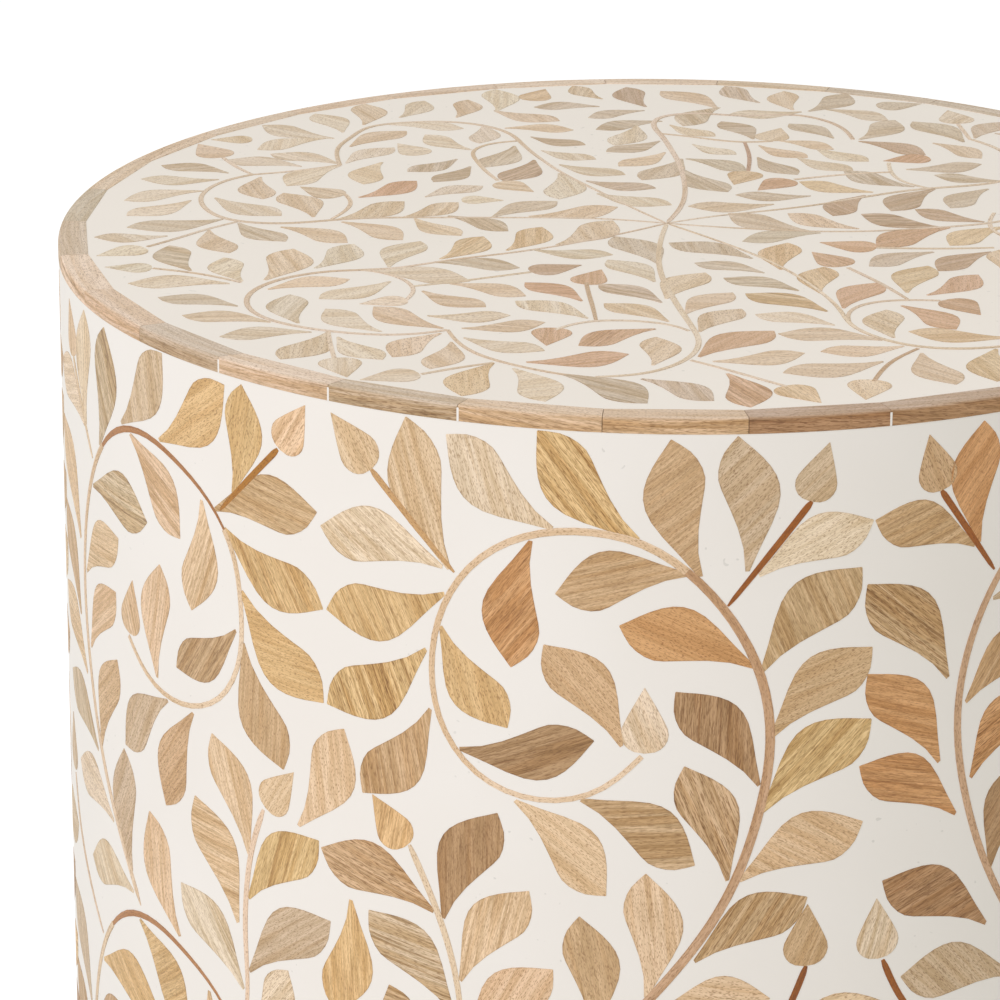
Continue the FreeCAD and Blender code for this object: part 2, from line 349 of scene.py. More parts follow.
def on_top(points, depth):
    """Flat on the top: the drawing scaled to metres, at the top's level less the depth."""
    level = np.full(points.shape[:-1], TOP - depth)
    return np.stack([points[..., 0] * UNIT, points[..., 1] * UNIT, level], axis=-1)


def stepped(depth, spread, slips):
    """A depth for each slip of a kind: the golden ratio keeps neighbours in the list far apart in depth."""
    return depth + spread * (np.arange(slips) * GOLDEN % 1)


def set_slips(name, points, surface, depth, grain, tones, material):
    """Solid slips from drawing points (slips, along, across, 2), grain (the same, 3) and tones (slips, along,
    4): the front at its depth, and once more behind it."""
    slips, along, across, _ = points.shape
    depth = np.broadcast_to(depth, slips)[:, None, None]
    solid = np.stack([surface(points, depth), surface(points, depth + SLIP_THICKNESS)], axis=1)
    edge = np.abs(np.linspace(-1, 1, across))
    doubled = (slips, 2, along, across)
    attributes = {
        "tone": ("FLOAT_COLOR", "color", np.broadcast_to(tones[:, None, :, None, :], doubled + (4,))),
        "grain": ("FLOAT_VECTOR", "vector", np.broadcast_to(grain[:, None], doubled + (3,))),
        "edge": ("FLOAT", "value", np.broadcast_to(edge, doubled)),
    }
    return make_piece(name, solid, slip_faces(slips, along, across), material, attributes)


print("depths of three leaves in mm:", (stepped(LEAF_DEPTH, LEAF_SPREAD, 3) / MM).round(4))

# %% [markdown]
# ## Free curves
# The sides of a leaf and the lines of the vines are free curves. A few points of each are written down,
# and a natural spline joins them: between two points the curve is a cubic, and where two cubics meet,
# their slope and bend agree. A chain of arcs would do too, but it needs more numbers for the same line.

# %% Natural spline
def natural_spline(knots, values, at):
    """Values (knots, n) read at places between the knots: the bends at the knots come from equal slopes on
    both sides, with none at the two ends, and each cubic mixes its two knots' values and bends."""
    gap = np.diff(knots)
    inner = np.arange(1, len(knots) - 1)
    system = np.eye(len(knots))
    system[inner, inner - 1], system[inner, inner + 1] = gap[:-1], gap[1:]
    system[inner, inner] = 2 * (gap[:-1] + gap[1:])
    right_hand = np.zeros_like(values)
    right_hand[1:-1] = 6 * np.diff(np.diff(values, axis=0) / gap[:, None], axis=0)
    bend = np.linalg.solve(system, right_hand)
    span = np.clip(np.searchsorted(knots, at, side="right") - 1, 0, len(gap) - 1)
    past, left = (at - knots[span])[:, None], (knots[span + 1] - at)[:, None]
    width = gap[span][:, None]
    curve = (bend[span] * left ** 3 + bend[span + 1] * past ** 3) / (6 * width)
    curve += (values[span] / width - bend[span] * width / 6) * left
    return curve + (values[span + 1] / width - bend[span + 1] * width / 6) * past


print("spline ready")

# %% [markdown]
# ## Leaf and bud
# Each leaf has a fuller and a flatter side. It leaves the vine as a narrow neck, the full side swells
# early, the flat side only near the tip, and there the two meet at about a right angle. So the leaf leans
# over to one hand. Its two sides are splines, and the leaf is every point between them. A bud is a drop: a
# round end, and almost straight sides that run to a point.

# %% Leaf and bud outlines
LEAF_STEPS = np.array([0, 0.17, 0.33, 0.45, 0.54, 0.62, 0.69, 0.76, 0.83, 0.89, 0.95, 1])
ALONG = len(LEAF_STEPS)
ACROSS = 3
FULL_SIDE = ((0, 0.02), (0.2, 0.13), (0.4, 0.243), (0.58, 0.288), (0.7, 0.26), (0.85, 0.155), (1, 0))
FLAT_SIDE = ((0, 0.01), (0.2, 0.017), (0.4, 0.07), (0.58, 0.135), (0.7, 0.168), (0.8, 0.152),
             (0.9, 0.102), (1, 0))
HAND_CUT = 0.02
BLUNT_END = 0.004
BUD_WIDEST, BUD_HALF, BUD_ROUNDNESS, BUD_HOLLOW = 0.33, 0.345, 2.3, 1.15
BUD_STEPS = np.linspace(0, 1, ALONG) ** 1.6


def side_height(side, shares):
    """Height of a leaf's side at shares of its length, both in leaf lengths."""
    side = np.array(side, dtype=float)
    return natural_spline(side[:, 0], side[:, 1:], shares)[:, 0]


def bud_width(shares):
    """Half width of a bud: a rounded end up to its widest place, then an almost straight slope."""
    round_end = np.maximum(1 - np.abs(shares / BUD_WIDEST - 1) ** BUD_ROUNDNESS, 0) ** (1 / BUD_ROUNDNESS)
    slope = 1 - np.clip((shares - BUD_WIDEST) / (1 - BUD_WIDEST), 0, 1) ** BUD_HOLLOW
    return BUD_HALF * np.where(shares < BUD_WIDEST, round_end, slope)


def between_sides(bases, tips, shares, left, right):
    """Grid from base to tip: along the line between them, across it from the right side to the left side."""
    left, right = np.maximum(left, BLUNT_END), np.maximum(right, BLUNT_END)
    over = np.linspace(0, 1, ACROSS)
    height = left[..., None] * over - right[..., None] * (1 - over)
    chord = (tips - bases)[:, None, None, :]
    sideways = np.stack([-chord[..., 1], chord[..., 0]], axis=-1)
    return bases[:, None, None, :] + chord * shares[None, :, None, None] + sideways * height[..., None]


def leaf_points(leaves):
    """Drawing points of leaves (base x, base y, tip x, tip y, hand): hand +1 has its full side on the left,
    -1 on the right, and a number nearer to 0 makes a slimmer leaf."""
    swell = np.abs(leaves[:, 4:5]) + HAND_CUT * chance.standard_normal((2, len(leaves), 1))
    full = side_height(FULL_SIDE, LEAF_STEPS) * swell[0]
    flat = side_height(FLAT_SIDE, LEAF_STEPS) * swell[1]
    leans_left = leaves[:, 4:5] > 0
    return between_sides(leaves[:, 0:2], leaves[:, 2:4], LEAF_STEPS,
                         np.where(leans_left, full, flat), np.where(leans_left, flat, full))


def bud_points(buds):
    """Drawing points of buds (base x, base y, tip x, tip y)."""
    half = np.broadcast_to(bud_width(BUD_STEPS), (len(buds), ALONG))
    return between_sides(buds[:, 0:2], buds[:, 2:4], BUD_STEPS, half, half)


print("widest of a leaf's full side:", round(float(side_height(FULL_SIDE, LEAF_STEPS).max()), 3))

# %% Grain and tone of a slip
# White of the painted sheen that the top's slips are mixed with.
SHEEN_WHITE = tone(216, 213, 207)
CALM_WOODS = ("pale", "pink")
CALMNESS = 0.55
CHANNEL_PLAY = 0.01
FAR_APART = 50
LEAF_GRAIN = 0.5


def turned_grain(points, lines, spread):
    """Grain coordinates in metres: each slip's points turned to lie along its own grain, and moved apart."""
    heading = np.arctan2(lines[:, 1], lines[:, 0]) + spread * chance.standard_normal(len(lines))
    cosine, sine = np.cos(heading)[:, None, None], np.sin(heading)[:, None, None]
    along = (points[..., 0] * cosine + points[..., 1] * sine) * UNIT
    across = (points[..., 1] * cosine - points[..., 0] * sine) * UNIT
    apart = np.broadcast_to(chance.uniform(0, FAR_APART, len(lines))[:, None, None], along.shape)
    return np.stack([along, across, apart], axis=-1)


def shaded(woods, rows, figured=(0.0, 1.0), painted_sheen=0.0, varied=0.025):
    """The tones of the named woods, each a little lighter or darker, mixed by a share with the white of a
    painted sheen, which also fades the figure, with the slip's figure, which is weaker in the calm woods,
    once per row of the slip."""
    tones = np.array([WOODS[wood] for wood in woods])
    tones = tones * (1 + varied * chance.standard_normal((len(woods), 1)))
    tones = tones * (1 + CHANNEL_PLAY * chance.standard_normal((len(woods), 3)))
    # Painted sheen: the tone mixed towards white, and the figure faded by the same share.
    tones = tones * (1 - painted_sheen) + SHEEN_WHITE * painted_sheen
    figure = chance.uniform(*figured, (len(woods), 1)) * (1 - painted_sheen)
    figure *= np.where(np.isin(woods, CALM_WOODS), CALMNESS, 1.0)[:, None]
    return np.repeat(np.concatenate([tones.clip(0, 1), figure], axis=1)[:, None, :], rows, axis=1)


def set_leaves(name, outline, slips, woods, surface, finish, figured=(0.0, 1.0), painted_sheen=0.0):
    """Leaves or buds as solid slips: their outline, grain that keeps near to the line from base to tip, tones
    and depths."""
    points = outline(slips)
    grain = turned_grain(points, slips[:, 2:4] - slips[:, 0:2], LEAF_GRAIN)
    tones = shaded(woods, ALONG, figured, painted_sheen)
    depths = stepped(LEAF_DEPTH, LEAF_SPREAD, len(slips))
    return set_slips(name, points, surface, depths, grain, tones, finish)


print("a pale slip:", shaded(["pale"], 1).round(3).ravel())

# %% [markdown]
# ## Vines and stems
# A vine is a strip along a smooth line, read at even steps of length. It gets thinner towards its end, and
# its grain follows it, because it was bent, not sawn, to its shape. A stem is a shorter, thinner strip.

# %% Smooth lines and strips
FINE_STEPS = 600
PLAIN = (0.1, 0.35)


def smooth_line(points, steps, foot=-math.inf):
    """Even steps of length along a spline through the points, kept above the foot of the field."""
    points = np.array(points, dtype=float)
    knots = np.concatenate([[0], np.cumsum(np.hypot(*np.diff(points, axis=0).T))])
    line = natural_spline(knots, points, np.linspace(0, knots[-1], FINE_STEPS))
    line = line[line[:, 1] > foot]
    length = np.concatenate([[0], np.cumsum(np.hypot(*np.diff(line, axis=0).T))])
    even = np.linspace(0, length[-1], steps)
    return np.stack([np.interp(even, length, line[:, axis]) for axis in (0, 1)], axis=-1)


def strip_points(lines, widths):
    """Strips: each line moved to both sides, at right angles to its own heading, by half the width there."""
    heading = np.gradient(lines, axis=1)
    heading /= np.linalg.norm(heading, axis=-1, keepdims=True)
    sideways = np.stack([-heading[..., 1], heading[..., 0]], axis=-1)
    over = np.broadcast_to(widths, lines.shape[:2])[..., None] * np.linspace(-0.5, 0.5, ACROSS)
    return lines[:, :, None, :] + sideways[:, :, None, :] * over[..., None]


def strip_grain(lines, widths):
    """Grain that follows a strip: metres along its line and across it."""
    steps = np.hypot(*np.moveaxis(np.diff(lines, axis=1), -1, 0)) * UNIT
    along = np.concatenate([np.zeros((len(lines), 1)), np.cumsum(steps, axis=1)], axis=1)
    over = np.broadcast_to(widths, lines.shape[:2])[..., None] * np.linspace(-0.5, 0.5, ACROSS) * UNIT
    shape = lines.shape[:2] + (ACROSS,)
    along = np.broadcast_to(along[..., None], shape)
    apart = np.broadcast_to(chance.uniform(0, FAR_APART, len(lines))[:, None, None], shape)
    return np.stack([along, over, apart], axis=-1)


def set_strips(name, lines, widths, surface, depth, woods, painted_sheen=0.0):
    """Strips along lines (strips, steps, 2): widths per step or per strip and step, and a wood for each."""
    points, depths = strip_points(lines, widths), stepped(depth, STRIP_SPREAD, len(lines))
    grain = strip_grain(lines, widths)
    tones = shaded(woods, lines.shape[1], PLAIN, painted_sheen)
    return set_slips(name, points, surface, depths, grain, tones, vine_wood)


print("strips ready")

# %% [markdown]
# ## The drawing of the side
# Round the side run scrolls in mirrored pairs: a vine climbs, curls over to one side and ends in a bud,
# with leaves inside and outside the curl, and the next row's vine grows from its back. A right-hand and a
# left-hand scroll make a pair. The photo shows one pair almost whole, and it is written down here much as
# it was read: for each leaf its base, its tip, and the side it swells to and how much. Its wood comes last,
# chosen mostly by a separate program from the tone in the photo. A second wood after a slash is that of the
# same leaf in the next pair, where the photo shows it. Leaves under the top rim come once, the leaves of a
# scroll come in each row, and so do those that link a row to the next.

# %% Leaves of the right-hand scroll
RIGHT_RIM_LEAVES = (
    (-32.1, -25.8, -39.2, -2.9, 0.88, "pink"), (-16.3, -17.7, -32.7, -4.8, 1, "pale"),
    (-3.5, -18.8, -18.7, -2.8, 1, "honey"), (5.8, -24.5, 1, -3.3, 1, "tan"),
    (12.5, -23.8, 10.8, -2.8, -0.95, "grey"), (14.4, -24.6, 31.6, -16.9, 0.95, "pale"),
    (-33.3, -25.7, -54, -22.5, -1, "pale"),
)
RIGHT_SCROLL_LEAVES = (
    (-33, -29.7, -53, -35.7, 1, "honey"), (-36, -39, -53, -51, 1, "honey"),
    (-35.3, -48.5, -46.7, -64.2, 1, "tan"), (-19.5, -20, -22.5, -40.2, -1, "orange"),
    (3.8, -24.3, -15.8, -28, -1, "tan"), (13.8, -39, -6.2, -32.5, -1, "orange"),
    (-5.7, -51.7, -17.5, -36.2, -1, "tan"), (15, -58, 2.3, -42.8, -1, "brown"),
    (-33.5, -35, -23, -50, -1, "honey"), (-30.5, -54.2, -9.8, -51, -0.93, "brown"),
    (-21.8, -61.7, -7.7, -76, 1, "pink"), (-11.7, -60.7, 5.6, -70.7, 1, "tan"),
    (10.5, -73.3, 3.8, -54.7, -1, "tan"), (15.2, -39.7, 30, -24.2, 1, "tan"),
    (16.8, -50.3, 32, -37, 1, "tan"), (15.7, -62.3, 32.2, -48.5, 1, "honey"),
    (12.5, -73.4, 31.3, -65, 1, "pink"),
)
RIGHT_LINK_LEAVES = (
    (-58.7, -72.4, -50, -54.5, -1, "pink"), (-34.7, -81.7, -54.3, -75, -1, "tan"),
    (-31.5, -98, -45.7, -83.5, -1, "grey"), (-33, -82.5, -24.5, -64, 1, "brown"),
    (-30.2, -92.5, -19.5, -76.2, 1, "pink"), (-29, -103, -15.7, -88.8, 1, "pink"),
    (-49, -82.5, -51.8, -102, 1, "honey"), (-1.5, -92.5, -1.7, -72.2, -1, "pink"),
    (-9.5, -99, -11.7, -79.7, -1, "tan"), (5.9, -86.6, 22.9, -76.6, 0.92, "tan"),
    (0.5, -95, 17.5, -93, 1, "pink"), (-35.2, -110, -42.2, -95.3, 1, "tan"),
    (15.5, -104, 38.3, -96.8, 1, "pink"),
)
print("right-hand scroll leaves:", len(RIGHT_RIM_LEAVES + RIGHT_SCROLL_LEAVES + RIGHT_LINK_LEAVES))

# %% Leaves of the left-hand scroll
LEFT_RIM_LEAVES = (
    (-71.5, -21, -69.3, -3.3, -1, "honey"), (-89.5, -17, -73, -4.2, -1, "honey"),
    (-101.5, -17.6, -88.3, -2.8, -1, "grey"), (-110.5, -24, -107.5, -3.7, -1, "grey"),
    (-117, -22.5, -117, -3.5, 1, "pale/orange"), (-118, -23, -136, -17, -1, "pale/tan"),
    (-75.5, -24.8, -54.7, -20.5, 1, "tan"),
)
LEFT_SCROLL_LEAVES = (
    (-73.3, -27.2, -53.7, -35.8, -0.93, "honey"), (-69.7, -36.5, -53.7, -51, -1, "honey"),
    (-69.5, -45, -61.5, -63.8, -1, "tan"), (-98.5, -18.7, -84.2, -31.8, 1, "pink"),
    (-114, -32, -93.5, -31.8, 1, "grey"), (-118.5, -48, -103.5, -37.5, 1, "pink/tan"),
    (-91.2, -57, -90, -37.7, 1, "pink"), (-117, -60.5, -105, -47, 1, "pink/orange"),
    (-78.7, -24, -81.5, -42.8, 1, "pink"), (-71.2, -43.3, -85.7, -53.5, 1, "tan"),
    (-88.3, -60, -102.3, -72, -1, "grey"), (-81.5, -60, -89.3, -78, -1, "tan"),
    (-112.5, -76, -105, -58.5, 1, "tan/brown"), (-122.2, -43.5, -137, -27, -1, "pink/tan"),
    (-123.3, -57, -136.5, -41.3, -1, "tan/orange"), (-119.8, -66, -137.5, -56, -1, "pink/orange"),
)
LEFT_LINK_LEAVES = (
    (-69, -87.5, -54.8, -74, 1, "honey"), (-69, -100, -52.7, -87, 1, "grey"),
    (-69, -80, -77, -62, -0.93, "pink"), (-71.6, -92.4, -81.4, -73.8, -1, "pink"),
    (-70.5, -103.5, -85.5, -90, -1, "pale"), (-100.8, -93.5, -103, -73, 1, "grey"),
    (-86, -99.5, -94.5, -80.8, 1, "pink"), (-68.8, -110.5, -61, -97.5, -1.1, "pale"),
)
FIRST_PAIR_LEAVES = (
    (-114.5, -77.5, -133, -70, -1, "grey"), (-107.8, -87.5, -126.5, -83.5, -1, "pale"),
    (-100.5, -97.1, -119, -97.7, -1, "pale"),
)
OTHER_PAIR_LEAVES = ((-113, -85.3, -132.8, -75.2, -1, "brown"), (-107, -95, -128.9, -91.6, -1, "grey"))
print("left-hand scroll leaves:", len(LEFT_RIM_LEAVES + LEFT_SCROLL_LEAVES + LEFT_LINK_LEAVES))

# %% Vines, stems and buds of the pair
RIGHT_VINE = ((-6, -99), (-1, -93), (5, -85.3), (10.8, -75.5), (15, -63), (16.6, -50.5), (14.8, -40),
              (10.5, -31.5), (4.5, -24.5), (-3, -19.6), (-12, -18), (-21, -19.6), (-28.5, -24.6),
              (-33.2, -32), (-35, -42), (-33.2, -51), (-27.5, -58), (-18, -61.1), (-9, -58.9),
              (-2.6, -53.2))
LEFT_VINE = ((-98, -98.5), (-103, -91.5), (-109, -83), (-114, -74), (-118, -63), (-120, -51),
             (-119, -41.5), (-114.5, -30.5), (-107, -21.8), (-100, -18.2), (-93, -17.4), (-85, -19.3),
             (-77, -23.7), (-72, -30), (-70, -39), (-70.5, -48), (-74.5, -55), (-80, -58.3), (-87, -59.3),
             (-94.5, -57.3), (-100.3, -52.8))
RIM_STEMS = (
    (((-45, -12), (-31.4, -26.2)), "honey_strip"), (((22, -13.3), (9.8, -29.2)), "dark_strip"),
    (((-62, -12), (-74.3, -24.5)), "gold_strip"),
    (((-124.5, -13.5), (-114, -27.3)), "light_strip/dark_strip"),
)
LINK_STEMS = (
    (((-38.7, -71.3), (-36, -77), (-33, -84.5), (-31.2, -91), (-30.3, -97), (-30.3, -103), (-31.3, -107.8)),
     "light_strip"),
    (((23, -88), (20.3, -95), (15, -104), (10.5, -110.9)), "dark_strip"),
    (((-65.7, -71.6), (-68, -78), (-69.4, -85), (-69.9, -94), (-69.7, -105), (-71, -112)), "light_strip"),
    (((-132.3, -88.3), (-128.8, -95), (-122, -102.5), (-114, -109.7)), "light_strip/dark_strip"),
)
RIM_BUDS = (
    (-45, -12, -52, -4.3, "pink"), (21.8, -13.3, 24.5, -4.3, "grey"),
    (-61.5, -12, -56.7, -4, "pink"), (-124.5, -13.5, -127, -4.5, "pink/tan"),
)
SCROLL_BUDS = ((-2.2, -52.7, -2.3, -42.2, "pale"), (-100, -52.3, -98.7, -43, "pink"))
LINK_BUDS = (
    (-39.5, -71.8, -45, -64.2, "honey"), (22.8, -88, 23, -77.8, "tan"),
    (-65.2, -71.2, -59.5, -63.8, "pink"), (-133.2, -88, -133.7, -78, "grey/pale"),
)
print("vine points:", len(RIGHT_VINE), "and", len(LEFT_VINE))

# %% [markdown]
# ## Round the drum
# Four pairs close the circle, and three rows fill the height. The pair that the photo shows is a little
# wider than a quarter turn, so the other three are drawn narrower by one factor. The last row meets the
# lower rim: a leaf that would cross it is drawn shorter, so that it ends there.

# %% Repeat the pair
ROW_PITCH = 82.4
ROWS = 3
PAIRS = 4
PAIR_START, PAIR_END = -137.0, 31.0
TURN = 200 * math.pi
SQUEEZE = (TURN / (PAIR_END - PAIR_START) - 1) / (PAIRS - 1)
SHORTEST = 7.0


def at_pair(width, pair):
    """Drawing widths moved to a pair: the first stays, the others follow it side by side, narrower."""
    if pair == 0:
        return width
    narrow = (PAIR_END - PAIR_START) * SQUEEZE
    return PAIR_END + (pair - 1) * narrow + (width - PAIR_START) * SQUEEZE


def repeated(entries, rows, pairs=range(PAIRS)):
    """Drawing entries (base, tip, ...) at the pairs and rows: their numbers, shortened at the foot of the
    field, and their woods."""
    numbers = np.array([entry[:-1] for entry in entries], dtype=float)
    woods = [entry[-1].split("/")[0] for entry in entries]
    beside = [entry[-1].split("/")[-1] for entry in entries]
    all_numbers, all_woods = [], []
    for pair in pairs:
        for row in rows:
            copy = numbers.copy()
            copy[:, [0, 2]] = at_pair(copy[:, [0, 2]], pair)
            copy[:, [1, 3]] -= row * ROW_PITCH
            all_numbers.append(copy)
            shift = 0 if row == 0 and pair < 2 else int(chance.integers(1, len(woods)))
            source = beside if (pair, row) == (1, 0) else woods
            all_woods += source[shift:] + source[:shift]
    numbers = np.concatenate(all_numbers)
    low, high = np.minimum(numbers[:, 1], numbers[:, 3]), np.maximum(numbers[:, 1], numbers[:, 3])
    kept = np.clip((high - FIELD_FOOT) / np.maximum(high - low, 1e-6), 0, 1)[:, None]
    base_is_low = (numbers[:, 1] < numbers[:, 3])[:, None]
    base, tip = numbers[:, 0:2].copy(), numbers[:, 2:4].copy()
    numbers[:, 0:2] = np.where(base_is_low, tip + (base - tip) * kept, base)
    numbers[:, 2:4] = np.where(base_is_low, tip, base + (tip - base) * kept)
    long_enough = np.hypot(*(numbers[:, 2:4] - numbers[:, 0:2]).T) > SHORTEST
    return numbers[long_enough], [wood for wood, keep in zip(all_woods, long_enough) if keep]


def repeated_lines(lines, rows, steps):
    """Smooth lines at every pair and row, ended at the foot of the field."""
    made = []
    for pair in range(PAIRS):
        for row in rows:
            for line in lines:
                moved = np.array(line, dtype=float)
                moved[:, 0] = at_pair(moved[:, 0], pair)
                moved[:, 1] -= row * ROW_PITCH
                if moved[:, 1].max() > FIELD_FOOT + SHORTEST:
                    made.append(smooth_line(moved, steps, FIELD_FOOT))
    return np.array(made)


def joined(*parts):
    """Several results of repeated as one."""
    return np.concatenate([part[0] for part in parts]), sum([part[1] for part in parts], [])


print("other pairs are drawn at", round(SQUEEZE, 4), "of the first one's width")

# %% Leaves and buds of the side
EVERY_ROW = range(ROWS)

leaves, woods = joined(repeated(RIGHT_RIM_LEAVES + LEFT_RIM_LEAVES, (0,)),
                       repeated(RIGHT_SCROLL_LEAVES + LEFT_SCROLL_LEAVES, EVERY_ROW),
                       repeated(RIGHT_LINK_LEAVES + LEFT_LINK_LEAVES, EVERY_ROW),
                       repeated(FIRST_PAIR_LEAVES, EVERY_ROW, (0,)),
                       repeated(OTHER_PAIR_LEAVES, EVERY_ROW, range(1, PAIRS)))
set_leaves("side_leaves", leaf_points, leaves, woods, on_side, leaf_wood)

buds, woods = joined(repeated(RIM_BUDS, (0,)), repeated(SCROLL_BUDS, EVERY_ROW),
                     repeated(LINK_BUDS, EVERY_ROW))
set_leaves("side_buds", bud_points, buds, woods, on_side, leaf_wood)
print("side leaves:", len(leaves), "side buds:", len(buds))

# %% Vines of the side
VINE_STEPS = 73
CROWN_STEP = 33
CURL_STEP = 49
VINE_DEPTH = 0.0 * MM
CURL_DEPTH = 0.005 * MM
LEFT_SLIMNESS = 0.82

share = np.linspace(0, 1, VINE_STEPS)
taper = np.interp(share, (0, 0.012, 0.35, 0.55, 0.75, 1), (0.2, 1.45, 1.45, 1.15, 0.92, 0.8))
lines = repeated_lines((RIGHT_VINE, LEFT_VINE), EVERY_ROW, VINE_STEPS)
slimness = np.tile((1, LEFT_SLIMNESS), len(lines) // 2)[:, None]
climb_woods = ["tan_strip", "light_strip"] * ROWS + ["tan_strip"] * (len(lines) - 2 * ROWS)
set_strips("side_vines", lines[:, :CROWN_STEP + 1], taper[:CROWN_STEP + 1] * slimness, on_side, VINE_DEPTH,
           climb_woods)
print("side vines:", len(lines))

# %% Curls of the side
right, left = lines[0::2], lines[1::2]
set_strips("side_curls", right[:, CROWN_STEP:], taper[CROWN_STEP:], on_side, CURL_DEPTH,
           ["light_strip"] * len(right))
crown = np.interp(np.linspace(0, 1, CURL_STEP - CROWN_STEP + 1), (0, 0.2, 0.6, 1), (0.7, 1.1, 0.85, 0.45))
set_strips("side_crowns", left[:, CROWN_STEP:CURL_STEP + 1], crown, on_side, CURL_DEPTH,
           ["red_strip"] * len(left))
set_strips("side_curl_ends", left[:, CURL_STEP:], taper[CURL_STEP:], on_side, CURL_DEPTH,
           ["light_strip"] * len(left))
print("curls:", len(right), "of one strip and", len(left), "of two")

# %% Stems of the side
STEM_STEPS = 25
STEM_DEPTH = 0.01 * MM
STEM_WIDTHS = np.interp(np.linspace(0, 1, STEM_STEPS), (0, 0.05, 0.5, 0.93, 1), (0.55, 1.05, 1.0, 0.7, 0.3))

stem_lines, stem_woods = [], []
for stems, rows in ((RIM_STEMS, (0,)), (LINK_STEMS, EVERY_ROW)):
    for line, wood in stems:
        made = repeated_lines((line,), rows, STEM_STEPS)
        in_pair = len(made) // PAIRS
        stem_lines.append(made)
        stem_woods += ([wood.split("/")[0]] * in_pair + [wood.split("/")[-1]] * in_pair) * (PAIRS // 2)
lines = np.concatenate(stem_lines)
set_strips("side_stems", lines, STEM_WIDTHS, on_side, STEM_DEPTH, stem_woods)
print("side stems:", len(lines))
